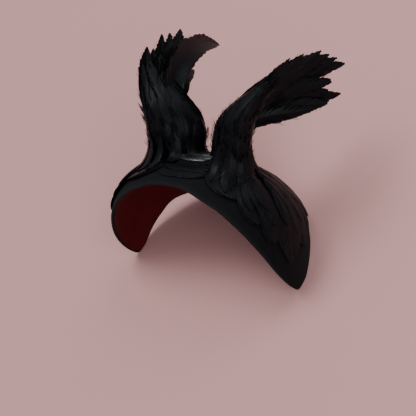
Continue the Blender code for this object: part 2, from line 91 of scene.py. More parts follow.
@dataclass(frozen=True)
class Table:
    """A short table with named columns."""

    columns: tuple[str, ...]
    rows: tuple[tuple[float, ...], ...]

    def column(self, name: str) -> Array:
        """One named column as an array."""
        return np.array([row[self.columns.index(name)] for row in self.rows], dtype=float)

    def each(self) -> list[dict[str, float]]:
        """The rows as dictionaries from column name to value."""
        return [dict(zip(self.columns, row)) for row in self.rows]

    def between(self, share: float, most: float) -> list[dict[str, float]]:
        """Rows that lie between the table's neighbouring rows.

        Args:
            share: where between two rows, 0 at the first and 1 at the second.
            most: two rows whose first values are further apart than this keep the gap between them.

        Returns:
            A dictionary from column name to value for each pair of rows without such a gap.
        """
        values = np.array(self.rows, dtype=float)
        middle = values[:-1] * (1 - share) + values[1:] * share
        near = np.abs(np.diff(values[:, 0])) <= most
        return [dict(zip(self.columns, row)) for row in middle[near]]

    def read(self, key: str, name: str, at: Array) -> Array:
        """Reads a column along a smooth curve of cubic pieces with shared slopes.

        Args:
            key: the rising column that gives the places.
            name: the column that is read.
            at: places to read at.

        Returns:
            Values of the same shape as the places.
        """
        places, values = self.column(key), self.column(name)
        slopes = np.gradient(values, places)
        at = np.clip(at, places[0], places[-1])
        piece = np.clip(np.searchsorted(places, at, side="right") - 1, 0, len(places) - 2)
        span = places[piece + 1] - places[piece]
        t = (at - places[piece]) / span
        rise = values[piece + 1] - values[piece]
        bend = (1 - t) * (slopes[piece] * span - rise) - t * (slopes[piece + 1] * span - rise)
        return values[piece] + t * rise + t * (1 - t) * bend


# The felt's outline: the side angle's turn in degrees, and the reach to front and back as shares.
EDGE = Table(
    ("turn", "front", "back"),
    (
        (0, 1.000, 1.000),
        (7, 1.000, 0.990),
        (14, 1.030, 0.924),
        (21, 1.005, 0.826),
        (28, 0.980, 0.720),
        (35, 0.920, 0.605),
        (41, 0.850, 0.520),
        (45, 0.790, 0.496),
        (51, 0.690, 0.448),
        (57, 0.570, 0.402),
        (65, 0.366, 0.352),
        (74, 0.116, 0.286),
        (82, -0.105, 0.205),
        (90, -0.240, 0.133),
    ),
)

# A long feather: how far back, out and up its tip lies, its width, its tip's slope in degrees, the lift of
# its root with that lift's lean and flare, and its seat across the foot from -1 to 1.
PLUME_COLUMNS = ("back", "out", "up", "width", "slope", "lift", "lean", "flare", "seat")
LEFT_PLUME = Table(
    PLUME_COLUMNS,
    (
        (0.15, 1.00, 0.96, 0.80, 52, 0.26, 0.20, 0.34, 1.00),
        (0.33, 1.00, 0.97, 0.95, 42, 0.27, 0.18, 0.28, 0.75),
        (0.56, 1.00, 0.97, 1.00, 32, 0.29, 0.16, 0.22, 0.50),
        (0.68, 0.99, 0.92, 1.05, 20, 0.33, 0.15, 0.16, 0.25),
        (0.80, 0.98, 0.875, 0.90, 14, 0.35, 0.14, 0.13, 0.12),
        (0.91, 0.98, 0.81, 1.15, 8, 0.37, 0.13, 0.10, 0.00),
        (0.69, 1.02, 0.68, 1.10, 4, 0.41, 0.10, 0.05, -0.25),
        (0.81, 1.03, 0.56, 0.95, 6, 0.42, 0.05, 0.00, -0.50),
        (0.64, 1.02, 0.50, 1.00, 4, 0.43, 0.00, -0.04, -0.75),
        (0.40, 0.98, 0.47, 0.80, 6, 0.45, -0.06, -0.06, -1.00),
    ),
)
RIGHT_PLUME = Table(
    PLUME_COLUMNS,
    (
        (0.04, 0.98, 0.95, 0.95, 100, 0.50, 0.60, 0.50, 1.00),
        (0.23, 1.00, 1.04, 1.05, 84, 0.52, 0.54, 0.40, 0.75),
        (0.33, 1.00, 1.04, 1.05, 68, 0.54, 0.46, 0.30, 0.50),
        (0.46, 1.00, 1.06, 1.15, 48, 0.56, 0.38, 0.20, 0.25),
        (0.70, 1.00, 0.94, 1.10, 6, 0.56, 0.30, 0.14, 0.00),
        (0.96, 0.99, 0.845, 1.12, -18, 0.60, 0.26, 0.12, -0.25),
        (0.57, 0.92, 0.67, 0.60, 0, 0.54, 0.16, 0.10, -0.50),
        (0.44, 0.92, 0.62, 0.42, -4, 0.52, 0.12, 0.08, -0.75),
        (0.26, 0.80, 0.45, 0.60, 10, 0.46, 0.06, 0.04, -1.00),
    ),
)

# A stem: the height up it, its radius and how much of its breadth it has there, and its lean, as shares.
STEM = Table(
    ("height", "radius", "breadth", "forward", "outward"),
    (
        (0.00, 1.00, 0.45, 0.00, 0.00),
        (0.12, 0.98, 1.00, 0.01, 0.00),
        (0.36, 1.02, 1.00, 0.02, 0.02),
        (0.55, 0.86, 1.00, 0.03, 0.12),
        (0.75, 0.54, 1.00, 0.01, 0.30),
        (1.00, 0.16, 1.00, -0.06, 0.52),
    ),
)

# A side feather: root and tip, fore in degrees and side as a share, its width, and how high it lies.
WING = Table(
    ("root_fore", "root_side", "tip_fore", "tip_side", "width", "root_height", "tip_height"),
    (
        (2, 0.68, 6, 1.26, 0.90, 0.40, 0.24),
        (-4, 0.62, 3, 1.20, 0.95, 0.44, 0.26),
        (9, 0.58, 14, 0.98, 0.85, 0.42, 0.26),
        (-8, 0.60, -8, 1.14, 0.90, 0.52, 0.34),
        (-15, 0.54, -20, 0.88, 0.85, 0.45, 0.26),
        (-20, 0.36, -30, 0.70, 0.90, 0.45, 0.26),
        (-27, 0.18, -38, 0.46, 0.90, 0.45, 0.26),
        (10, 0.22, 18, 0.74, 0.90, 0.62, 0.32),
        (4, 0.24, 11, 0.84, 0.95, 0.75, 0.48),
        (-3, 0.22, -2, 0.80, 1.00, 0.85, 0.62),
        (-10, 0.12, -22, 0.80, 0.95, 0.95, 0.72),
        (-16, 0.06, -31, 0.50, 0.95, 0.72, 0.50),
        (-19, -0.04, -38, 0.22, 0.90, 0.55, 0.40),
        (14, -0.04, 18, 0.42, 0.80, 0.60, 0.36),
        (7, 0.20, 9, 0.54, 0.80, 1.00, 0.85),
        (-6, 0.20, -12, 0.56, 0.85, 1.15, 0.98),
    ),
)

# A crown feather: its place fore in degrees, how far it reaches to the side, and how high it lies.
CROWN = Table(
    ("fore", "reach", "height"),
    (
        (17.5, 0.74, 0.30),
        (14.0, 0.74, 0.48),
        (9.0, 0.55, 0.72),
        (4.5, 0.52, 1.00),
        (-0.5, 0.52, 0.86),
        (-5.5, 0.52, 0.70),
        (-11.0, 0.66, 0.62),
        (-16.0, 0.74, 0.50),
    ),
)

# A vane's outline: the place along the feather and its half width there, as shares.
VANE = Table(
    ("along", "width"),
    (
        (0.00, 0.30),
        (0.14, 0.62),
        (0.36, 0.92),
        (0.60, 1.00),
        (0.76, 0.86),
        (0.87, 0.58),
        (0.95, 0.27),
        (1.00, 0.02),
    ),
)

# Small feathers over a wing: how far out their round starts in degrees, how many, and how high they lie.
COVERTS = Table(
    ("distance", "count", "height"),
    (
        (11, 12, 1.25),
        (17, 12, 1.15),
        (24, 11, 1.00),
        (32, 9, 0.85),
    ),
)

# Short feathers round a stem: the heights where they start and end, as shares, and how many.
HACKLES = Table(
    ("low", "high", "count"),
    (
        (0.00, 0.52, 8),
        (0.10, 0.70, 8),
        (0.20, 0.86, 7),
        (0.36, 0.98, 6),
    ),
)

# Feathers over a foot: where they start up the stem, as a share, how far out they reach, and how many.
SKIRT = Table(
    ("rise", "reach", "count"),
    (
        (0.15, 6.5, 8),
        (0.22, 9.5, 10),
        (0.30, 13.0, 11),
    ),
)


def unit(vectors: Array) -> Array:
    """Vectors scaled to length one."""
    return vectors / np.maximum(np.linalg.norm(vectors, axis=-1, keepdims=True), 1e-12)


def cubic(controls: list[Array], count: int) -> Array:
    """Points along a cubic curve.

    Args:
        controls: its four control points.
        count: how many points, evenly spaced in the curve's own measure.

    Returns:
        An array of points, one row each.
    """
    t = np.linspace(0, 1, count)[:, None]
    first, second, third, fourth = controls
    return (1 - t) ** 3 * first + 3 * t * (1 - t) ** 2 * second + 3 * t**2 * (1 - t) * third + t**3 * fourth


@dataclass(frozen=True)
class Dome:
    """The blocked form under everything: an ellipsoid with swells, and the felt's outline on it."""

    front: float = 108 * MM
    back: float = 105 * MM
    side: float = 85 * MM
    rise: float = 80.5 * MM
    crown_swell: float = 4 * MM
    shoulder_swell: float = 5.5 * MM
    shoulder_span: float = 100.0
    shoulder_bias: float = 0.9
    back_drop: float = 12 * MM
    drop_start: float = 2.0
    drop_run: float = 25.0
    drop_span: float = 58.0
    front_reach: float = 27.6
    back_reach: float = 50.0
    lobe_reach: float = 97.5
    last_turn: float = 84.0

    def reach(self, side: Array) -> tuple[Array, Array]:
        """Front and back reach of the felt: the reach at the crown times the outline's shares.

        Args:
            side: degrees from the crown towards the wearer's left.

        Returns:
            The front edge and the back edge, in degrees fore of the crown.
        """
        turn = np.degrees(np.arcsin(np.clip(np.abs(side) / self.lobe_reach, 0, 1)))
        front = self.front_reach * EDGE.read("turn", "front", turn)
        back = -self.back_reach * EDGE.read("turn", "back", turn)
        return front, back

    def point(self, fore: Array, side: Array, proud: Array | float) -> Array:
        """Points off the felt's face.

        The dome is an ellipsoid read by polar angles, and its half sizes grow by the height off it. Crown and
        shoulders swell by one minus the square of the place across, and the back drops away on a smooth step.

        Args:
            fore: degrees from the crown towards the face.
            side: degrees from the crown towards the wearer's left.
            proud: distance off the felt's face.

        Returns:
            Points in the worn frame.
        """
        fore, side, proud = np.broadcast_arrays(np.asarray(fore, float), np.asarray(side, float), proud)
        front, back = self.reach(side)
        across = np.clip((2 * fore - front - back) / np.maximum(front - back, 1e-6), -1, 1)
        crown = self.crown_swell * (1 - across**2) * (1 - (side / self.lobe_reach) ** 2)
        shoulder = np.sin(math.pi * np.clip(np.abs(side) / self.shoulder_span, 0, 1)) ** 2
        shoulder = self.shoulder_swell * shoulder * (1 - across**2) * (1 + self.shoulder_bias * across)
        run = np.clip((self.drop_start - fore) / self.drop_run, 0, 1)
        fade = np.cos(math.pi / 2 * np.clip(np.abs(side) / self.drop_span, 0, 1))
        height = proud + crown + shoulder - self.back_drop * run * run * (3 - 2 * run) * fade
        polar = np.radians(np.hypot(fore, side))
        heading = np.arctan2(side, fore)
        forward = np.sin(polar) * np.cos(heading)
        length = np.where(forward >= 0, self.front, self.back)
        parts = (
            (length + height) * forward,
            (self.side + height) * np.sin(polar) * np.sin(heading),
            (self.rise + height) * np.cos(polar),
        )
        return np.stack(parts, axis=-1)

    def rows(self, proud: float, grid: tuple[int, int]) -> Array:
        """Grid of points over the felt, in rows across it from back edge to front, from lobe to lobe.

        A row's side angle is the lobes' reach times the sine of an even turn.

        Args:
            proud: distance off the felt's face.
            grid: how many rows, and how many points in each.

        Returns:
            Points shaped rows by points by three.
        """
        side = self.lobe_reach * np.sin(np.radians(np.linspace(-self.last_turn, self.last_turn, grid[0])))
        front, back = self.reach(side)
        fore = back[:, None] + (front - back)[:, None] * np.linspace(0, 1, grid[1])[None, :]
        return self.point(fore, side[:, None], proud)


@dataclass
class RestPose:
    """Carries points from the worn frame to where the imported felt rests."""

    dome: Dome
    felt_wall: float = 2.2 * MM
    press: float = 0.7 * MM
    edge_grid: tuple[int, int] = (121, 3)
    solid_grid: tuple[int, int] = (37, 13)
    passes: int = 12
    tilt: float = field(init=False)
    up: Array = field(init=False)
    level: float = field(init=False)
    turn: Array = field(init=False)
    shift: Array = field(init=False)

    def __post_init__(self) -> None:
        """Leans the hat back until both lobes and the middle of the back edge are level."""
        points = self.dome.rows(-self.felt_wall / 2, self.edge_grid)[:, 0]
        lobe = points[np.abs(points[:, 1]) > self.dome.side / 2]
        middle = points[np.abs(points[:, 1]) < self.dome.side / 4]
        self.tilt = math.pi / 4
        for _ in range(self.passes):
            up = np.array((math.sin(self.tilt), 0, math.cos(self.tilt)))
            lobe_low = lobe[np.argmin(lobe @ up)]
            middle_low = middle[np.argmin(middle @ up)]
            self.tilt = math.atan2(middle_low[2] - lobe_low[2], lobe_low[0] - middle_low[0])
        sine, cosine = math.sin(self.tilt), math.cos(self.tilt)
        self.up = np.array((sine, 0, cosine))
        self.level = min((lobe @ self.up).min(), (middle @ self.up).min()) + self.press
        self.turn = np.array(((cosine, 0, -sine), (0, 1, 0), (sine, 0, cosine)))
        outer = self.flatten(self.dome.rows(0, self.solid_grid)) @ self.turn.T
        self.shift = np.array((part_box("felt_base")[0][0] - outer[..., 0].min(), 0, -self.level))

    def flatten(self, points: Array) -> Array:
        """Lifts what would go under the floor up to it, as felt gives where it rests."""
        depth = np.clip(self.level - points @ self.up, 0, None)
        return points + depth[..., None] * self.up

    def place(self, points: Array) -> Array:
        """Points of the worn frame, in the row frame."""
        return points @ self.turn.T + self.shift

    def aim(self, vectors: Array) -> Array:
        """Directions of the worn frame, in the row frame."""
        return vectors @ self.turn.T


def make_object(name: str, points: Array, faces: Array, smooth: bool = True) -> bpy.types.Object:
    """Makes a mesh object from whole arrays.

    Args:
        name: the piece's name.
        points: its vertices in the row frame.
        faces: vertex numbers, one row to a face, all with as many corners.
        smooth: whether the faces are shaded smooth.

    Returns:
        The object, linked to the scene.
    """
    mesh = bpy.data.meshes.new(name)
    count, corners = faces.shape
    mesh.vertices.add(len(points))
    mesh.vertices.foreach_set("co", np.ascontiguousarray(points, dtype=np.float32).ravel())
    mesh.loops.add(count * corners)
    mesh.loops.foreach_set("vertex_index", np.ascontiguousarray(faces, dtype=np.int32).ravel())
    mesh.polygons.add(count)
    mesh.polygons.foreach_set("loop_start", np.arange(0, count * corners, corners, dtype=np.int32))
    mesh.update(calc_edges=True)
    mesh.polygons.foreach_set("use_smooth", np.full(count, smooth))
    piece = bpy.data.objects.new(name, mesh)
    bpy.context.collection.objects.link(piece)
    return piece


def mark_points(piece: bpy.types.Object, name: str, marks: Array) -> None:
    """Keeps four values for each vertex as a colour attribute that materials read."""
    layer = piece.data.color_attributes.new(name, "FLOAT_COLOR", "POINT")
    layer.data.foreach_set("color", np.ascontiguousarray(marks, dtype=np.float32).ravel())


def map_points(piece: bpy.types.Object, plan: Array) -> None:
    """Keeps a flat plan of the vertices as the piece's UV map.

    Args:
        piece: the piece, with its faces made.
        plan: two lengths in metres for each vertex.
    """
    layer = piece.data.uv_layers.new(name="plan")
    corner = np.empty(len(piece.data.loops), dtype=np.int32)
    piece.data.loops.foreach_get("vertex_index", corner)
    layer.data.foreach_set("uv", np.ascontiguousarray(plan[corner], dtype=np.float32).ravel())


def grid_faces(rows: int, columns: int) -> Array:
    """Four-cornered faces over a grid of points that is numbered row by row.

    Args:
        rows: rows of points.
        columns: points in a row.

    Returns:
        Four vertex numbers for each face.
    """
    index = np.arange(rows * columns).reshape(rows, columns)
    corners = (index[:-1, :-1], index[:-1, 1:], index[1:, 1:], index[1:, :-1])
    return np.stack(corners, axis=-1).reshape(-1, 4)


def halves(quads: Array) -> Array:
    """Splits four-cornered faces into triangles."""
    return np.concatenate((quads[:, [0, 1, 2]], quads[:, [0, 2, 3]]))


def ring_faces(rings: int, sides: int) -> Array:
    """Four-cornered faces round a tube of rings, each ring's last point joined to its first.

    Args:
        rings: how many rings.
        sides: points in a ring.

    Returns:
        Four vertex numbers for each face.
    """
    ring = np.arange(rings * sides).reshape(rings, sides)
    ahead = np.roll(ring, -1, axis=1)
    return np.stack((ring[:-1], ahead[:-1], ahead[1:], ring[1:]), axis=-1).reshape(-1, 4)


def lens_faces(rows: int, columns: int) -> Array:
    """Triangles of a closed lens: an upper grid, a lower grid of the same size after it, and the rim.

    Args:
        rows: rows of points in each grid.
        columns: points in a row.

    Returns:
        Three vertex numbers for each triangle.
    """
    upper = grid_faces(rows, columns)
    count = rows * columns
    index = np.arange(count).reshape(rows, columns)
    rim = np.concatenate((index[0, :], index[1:, -1], index[-1, -2::-1], index[-2:0:-1, 0]))
    ahead = np.roll(rim, -1)
    side = np.stack((rim, rim + count, ahead + count, ahead), axis=-1)
    return halves(np.concatenate((upper, upper[:, ::-1] + count, side)))


def tube_faces(rings: int, sides: int) -> Array:
    """Triangles of a closed tube: rings of points, then the middle of its first end and of its last.

    Args:
        rings: how many rings.
        sides: points in a ring.

    Returns:
        Three vertex numbers for each triangle.
    """
    first = np.full(sides, rings * sides)
    ring = np.arange(sides)
    ahead = np.roll(ring, -1)
    last = (rings - 1) * sides
    start = np.stack((ahead, ring, first), axis=-1)
    end = np.stack((ring + last, ahead + last, first + 1), axis=-1)
    return np.concatenate((halves(ring_faces(rings, sides)), start, end))


@dataclass
class Spine:
    """Centre line of a feather, with the directions across its face and off it."""

    centre: Array
    across: Array
    normal: Array

    @classmethod
    def turned(cls, centre: Array, normal: Array) -> "Spine":
        """Makes a spine whose normal is as near to the given one as a square to the line can be.

        Args:
            centre: points of the centre line.
            normal: the way that the feather's face should look, at each point.

        Returns:
            The spine, its across direction square to both.
        """
        tangent = unit(np.gradient(centre, axis=0))
        normal = unit(normal - np.sum(normal * tangent, axis=1, keepdims=True) * tangent)
        return cls(centre, np.cross(tangent, normal), normal)

    def rolled(self, angle: float) -> "Spine":
        """Turns the face about the centre line.

        Args:
            angle: the turn in radians.

        Returns:
            A new spine on the same centre line.
        """
        sine, cosine = math.sin(angle), math.cos(angle)
        across = self.across * cosine - self.normal * sine
        return Spine(self.centre, across, self.normal * cosine + self.across * sine)

    def length(self) -> float:
        """Length of the centre line."""
        return float(np.linalg.norm(np.diff(self.centre, axis=0), axis=1).sum())

    def at(self, place: Array) -> tuple[Array, Array, Array]:
        """Reads the spine in straight lines between its stations.

        Args:
            place: places from 0 at the root to 1 at the tip, in any shape.

        Returns:
            The centre, the across direction and the normal at each place.
        """
        spot = np.clip(place, 0, 1) * (len(self.centre) - 1)
        low = np.minimum(spot.astype(int), len(self.centre) - 2)
        share = (spot - low)[..., None]
        rows = (self.centre, self.across, self.normal)
        centre, across, normal = (row[low] * (1 - share) + row[low + 1] * share for row in rows)
        return centre, across, normal


@dataclass(frozen=True)
class VaneStyle:
    """How a feather's vane lies and how its barbs part into pointed locks.

    There are so many locks on each side, from the bare root to the end. A barb's tip is raked onwards, a
    lock's tips gather, a notch stays between two locks, and their lengths are ragged. The vane falls with
    its camber, its locks ruffle, and it has half a thickness, a ridge at the quill and the quill's radius.
    """

    locks: int = 13
    bare: float = 0.02
    end: float = 0.985
    rake: float = 0.22
    gather: float = 0.7
    notch: float = 0.30
    ragged: float = 0.05
    camber: float = 0.22
    ruffle: float = 0.35 * MM
    thick: float = 0.16 * MM
    ridge: float = 0.35 * MM
    quill: float = 0.5 * MM


LONG_VANE = VaneStyle(locks=15, notch=0.32, ragged=0.07, ruffle=0.18 * MM, camber=0.30)
HACKLE_VANE = VaneStyle(
    locks=8, rake=0.32, notch=0.22, ragged=0.05, ruffle=0.2 * MM, camber=0.28, quill=0.3 * MM
)
WING_VANE = VaneStyle(
    locks=9, rake=0.20, notch=0.08, ragged=0.02, camber=0.07, ruffle=0.06 * MM, ridge=0.2 * MM
)
CROWN_VANE = VaneStyle(locks=8, rake=0.34, notch=0.24, ragged=0.06, camber=0.14, ruffle=0.08 * MM)
SKIRT_VANE = VaneStyle(
    locks=8, rake=0.30, notch=0.24, ragged=0.05, ruffle=0.15 * MM, camber=0.24, quill=0.3 * MM
)
CREST_VANE = VaneStyle(locks=8, rake=0.30, notch=0.14, ragged=0.05, camber=0.42, ruffle=0.10 * MM)


class Plumage:
    """Collects feathers and stray barbs into one mesh of triangles.

    Pairs of numbers are the least and the most of a random draw, in millimetres where the name says so.
    """

    LOCK_ROWS = 4
    SHARES = np.array((0.0, 0.14, 0.42, 0.72, 0.96, 1.0))
    OUT_BEND = 0.5
    ON_BEND = 0.55
    EDGE_THINNING = 0.8
    NOTCH_CHANCE = (0.2, 1.4)
    NOTCH_GROWTH = (0.15, 0.85)
    LOCK_SLANT = 0.06
    QUILL_RINGS = 11
    QUILL_SIDES = 5
    QUILL_END = 0.9
    QUILL_TAPER = 0.9
    QUILL_SEAT = 0.6
    QUILL_MARKS = (0.0, 0.0, 1.0)
    STRAY_TAPER = np.array((1.0, 0.95, 0.75, 0.45, 0.0))
    STRAY_MARKS = (0.35, 0.8, 0.5)
    STRAY_WIDTH = 0.30 * MM
    FILAMENT_SPAN = (0.30, 0.93)
    FILAMENT_ROOT = (0.7, 0.95)
    FILAMENT_SLANT = (0.10, 0.55)
    FILAMENT_LENGTH_MM = (3.0, 11.0)
    FILAMENT_STEP = 0.04
    FILAMENT_CURL = (0.15, 0.12, 0.10)

    def __init__(self, seed: int) -> None:
        """Starts empty, with its own row of random numbers.

        Args:
            seed: the seed of those numbers.
        """
        self.random = np.random.default_rng(seed)
        self.points: list[Array] = []
        self.faces: list[Array] = []
        self.marks: list[Array] = []
        self.plans: list[Array] = []
        self.total = 0

    def add(self, points: Array, faces: Array, marks: Array, plan: Array) -> None:
        """Adds a closed form.

        Args:
            points: its points, in any grid shape.
            faces: its triangles.
            marks: four marks for each point: along, across, lock and feather.
            plan: two lengths for each point: along the quill to the barb's root, and out along the barb.
        """
        self.points.append(points.reshape(-1, 3))
        self.faces.append(faces + self.total)
        self.marks.append(np.broadcast_to(marks, points.shape[:-1] + (4,)).reshape(-1, 4))
        self.plans.append(np.broadcast_to(plan, points.shape[:-1] + (2,)).reshape(-1, 2))
        self.total += points[..., 0].size

    def locks(self, style: VaneStyle, root: Array) -> tuple[Array, Array, Array]:
        """Tips, length factors and lock marks of the barbs on one side.

        Tips lie further on than their roots by the rake, less so near the feather's end. The tips of a lock
        draw together, and the barb between two locks stays shorter by the notch, more so near the end.

        Args:
            style: how the vane parts.
            root: the barbs' roots as places along the feather.

        Returns:
            The tips as places, a factor on their reach and a random mark for the lock, for each barb.
        """
        lock = np.arange(len(root)) // self.LOCK_ROWS
        within = np.arange(len(root)) % self.LOCK_ROWS
        tip = root + style.rake * (1 - root**3)
        middle = np.bincount(lock, weights=tip) / np.bincount(lock)
        drawn = middle[lock] + (tip - middle[lock]) * (1 - style.gather)
        tip = np.where(within == 0, tip, drawn)
        least, spread = self.NOTCH_CHANCE
        start, growth = self.NOTCH_GROWTH
        chance = self.random.random(lock[-1] + 1)
        depth = style.notch * (least + spread * chance**2)[lock] * (start + growth * root**2)
        slant = self.LOCK_SLANT * style.notch * np.abs(within - self.LOCK_ROWS // 2)
        factor = 1 - np.where(within == 0, depth, 0) - slant
        factor = factor * (1 + style.ragged * self.random.uniform(-1, 1, lock[-1] + 1)[lock])
        return np.clip(tip, 0, 1), factor, self.random.random(lock[-1] + 1)[lock]

    def feather(self, spine: Spine, half_width: float, style: VaneStyle, tone: float) -> None:
        """Adds one feather: its vane as one thin closed sheet, and its quill.

        Each row of the sheet is a barb on one side and the barb that faces it on the other. A barb runs out
        from the quill and bends towards the tip: a straight line blended with a quarter of an ellipse. Across
        the vane the sheet falls with the square of the distance from the quill.

        Args:
            spine: the feather's centre line.
            half_width: its half width at its widest.
            style: how the vane lies and parts.
            tone: a mark from 0 to 1 for the whole feather.
        """
        length = spine.length()
        root = np.linspace(style.bare, style.end, style.locks * self.LOCK_ROWS)
        turn = self.SHARES * math.pi / 2
        outward = (1 - self.OUT_BEND) * self.SHARES + self.OUT_BEND * np.sin(turn)
        onward = (1 - self.ON_BEND) * self.SHARES + self.ON_BEND * (1 - np.cos(turn))
        sides = []
        for hand in (-1, 1):
            tip, factor, mark = self.locks(style, root)
            place = root[:, None] + (tip - root)[:, None] * onward
            reach = half_width * VANE.read("along", "width", tip) * factor
            x = hand * reach[:, None] * outward
            wave = style.ruffle * (mark - 0.5)[:, None] * self.SHARES
            sides.append((place, x, wave, mark[:, None] * np.ones_like(x)))
        place, x, wave, mark = (np.concatenate((b[:, :0:-1], a), 1)[:, ::-1] for a, b in zip(*sides))
        share = np.abs(np.concatenate((-self.SHARES[:0:-1], self.SHARES)))
        centre, across, normal = spine.at(place)
        drop = style.ridge * (1 - share) ** 4 + wave - style.camber * x**2 / half_width
        thick = style.thick * (1 - self.EDGE_THINNING * share) * np.ones_like(x)
        middle = centre + across * x[..., None]
        upper = middle + normal * (drop + thick)[..., None]
        lower = middle + normal * (drop - thick)[..., None]
        marks = np.stack((place, np.abs(x) / half_width, mark, np.full_like(x, tone)), axis=-1)
        plan = np.stack((root[:, None] * length + tone + 0 * x, x), axis=-1)
        points, marks, plan = (np.stack(pair) for pair in ((upper, lower), (marks, marks), (plan, plan)))
        self.add(points, lens_faces(*x.shape), marks, plan)
        self.quill(spine, style, tone)

    def quill(self, spine: Spine, style: VaneStyle, tone: float) -> None:
        """Adds the quill: a tapered round bar along the centre line, a little proud of the vane.

        Args:
            spine: the feather's centre line.
            style: the feather's style, with the quill's radius at its root.
            tone: the feather's mark.
        """
        place = np.linspace(0, self.QUILL_END, self.QUILL_RINGS)
        centre, across, normal = spine.at(place)
        turn = np.linspace(0, 2 * math.pi, self.QUILL_SIDES, endpoint=False)
        radius = style.quill * (1 - self.QUILL_TAPER * place)[:, None, None]
        ring = np.cos(turn)[None, :, None] * across[:, None] + np.sin(turn)[None, :, None] * normal[:, None]
        seat = centre + normal * style.ridge * self.QUILL_SEAT
        ring = seat[:, None] - ring[:, ::-1] * radius
        ends = np.stack((ring[0].mean(axis=0), ring[-1].mean(axis=0)))
        points = np.concatenate((ring.reshape(-1, 3), ends))
        marks = np.array((*self.QUILL_MARKS, tone)) * np.ones((len(points), 1))
        self.add(points, tube_faces(self.QUILL_RINGS, self.QUILL_SIDES), marks, np.zeros(2))

    def blades(self, path: Array, width: Array, normal: Array, depth: float, marks: Array) -> None:
        """Adds many thin blades, each with a three-sided section that narrows to a point.

        Args:
            path: points along each blade, shaped blades by stations by three.
            width: width at each station.
            normal: direction of the ridge at each station.
            depth: height of the ridge over the flat side.
            marks: four marks at each station.
        """
        count, stations = path.shape[:2]
        heading = unit(np.gradient(path, axis=1))
        across = unit(np.cross(normal, heading)) * width[..., None] / 2
        ridge = normal * depth * (width / np.maximum(width.max(), 1e-9))[..., None]
        ring = np.stack((path - across, path + across, path + ridge), axis=2)[:, :-1]
        points = np.concatenate((ring.reshape(count, -1, 3), path[:, -1:]), axis=1)
        rings = stations - 1
        corner = np.arange(3) + (rings - 1) * 3
        tip = np.stack((corner, np.roll(corner, -1), np.full(3, rings * 3)), axis=-1)
        faces = np.concatenate((halves(ring_faces(rings, 3)), tip, [[2, 1, 0]]))
        start = np.arange(count) * (rings * 3 + 1)
        ring_marks = np.repeat(marks[:, :-1], 3, axis=1)
        all_marks = np.concatenate((ring_marks, marks[:, -1:]), axis=1)
        self.add(points, (faces[None] + start[:, None, None]).reshape(-1, 3), all_marks, np.zeros(2))

    def strays(self, root: Array, heading: Array, curl: Array, length: Array, tone: float) -> None:
        """Adds loose hair-like barbs.

        Each bends steadily: its heading times the share along it, plus its curl times the share's square.

        Args:
            root: where each starts.
            heading: the way each starts out.
            curl: the way each bends.
            length: how long each is.
            tone: the feather's mark.
        """
        stations = len(self.STRAY_TAPER)
        share = np.linspace(0, 1, stations)[None, :, None]
        bent = heading[:, None] * share + curl[:, None] * share**2
        path = root[:, None] + bent * length[:, None, None]
        normal = unit(np.cross(heading, curl) + 1e-6)[:, None] * np.ones((1, stations, 1))
        taper = self.STRAY_WIDTH * self.STRAY_TAPER * np.ones((len(root), 1))
        marks = np.ones((len(root), stations, 1)) * np.array((*self.STRAY_MARKS, tone))
        self.blades(path, taper, normal, self.STRAY_WIDTH / 2, marks)

    def filaments(self, spine: Spine, half_width: float, style: VaneStyle, count: int, tone: float) -> None:
        """Adds loose barbs that leave a feather's edges at a slant and bend back along it.

        Args:
            spine: the feather's centre line.
            half_width: its half width at its widest.
            style: how its vane lies.
            count: how many barbs.
            tone: the feather's mark.
        """
        place = self.random.uniform(*self.FILAMENT_SPAN, count)
        hand = self.random.choice((-1.0, 1.0), count)[:, None]
        centre, across, normal = spine.at(place)
        reach = half_width * VANE.read("along", "width", place)
        reach = reach * self.random.uniform(*self.FILAMENT_ROOT, count)
        fall = style.camber * reach**2 / half_width
        root = centre + hand * across * reach[:, None] - normal * fall[:, None]
        step = self.FILAMENT_STEP
        ahead = unit(spine.at(place + step)[0] - spine.at(place - step)[0])
        heading = unit(ahead + hand * across * self.random.uniform(*self.FILAMENT_SLANT, count)[:, None])
        onward, inward, lift = self.FILAMENT_CURL
        lift = self.random.normal(0, lift, count)[:, None]
        curl = ahead * onward - hand * across * inward + normal * lift
        length = self.random.uniform(*self.FILAMENT_LENGTH_MM, count) * MM
        self.strays(root, heading, curl, length, tone)

    def finish(self, name: str, pose: RestPose) -> bpy.types.Object:
        """Makes the object, placed in the row frame.

        Args:
            name: the piece's name.
            pose: what carries its points there.

        Returns:
            The object, with its marks and its plan.
        """
        points = pose.place(pose.flatten(np.concatenate(self.points)))
        piece = make_object(name, points, np.concatenate(self.faces))
        mark_points(piece, "plumage", np.concatenate(self.marks))
        map_points(piece, np.concatenate(self.plans))
        return piece


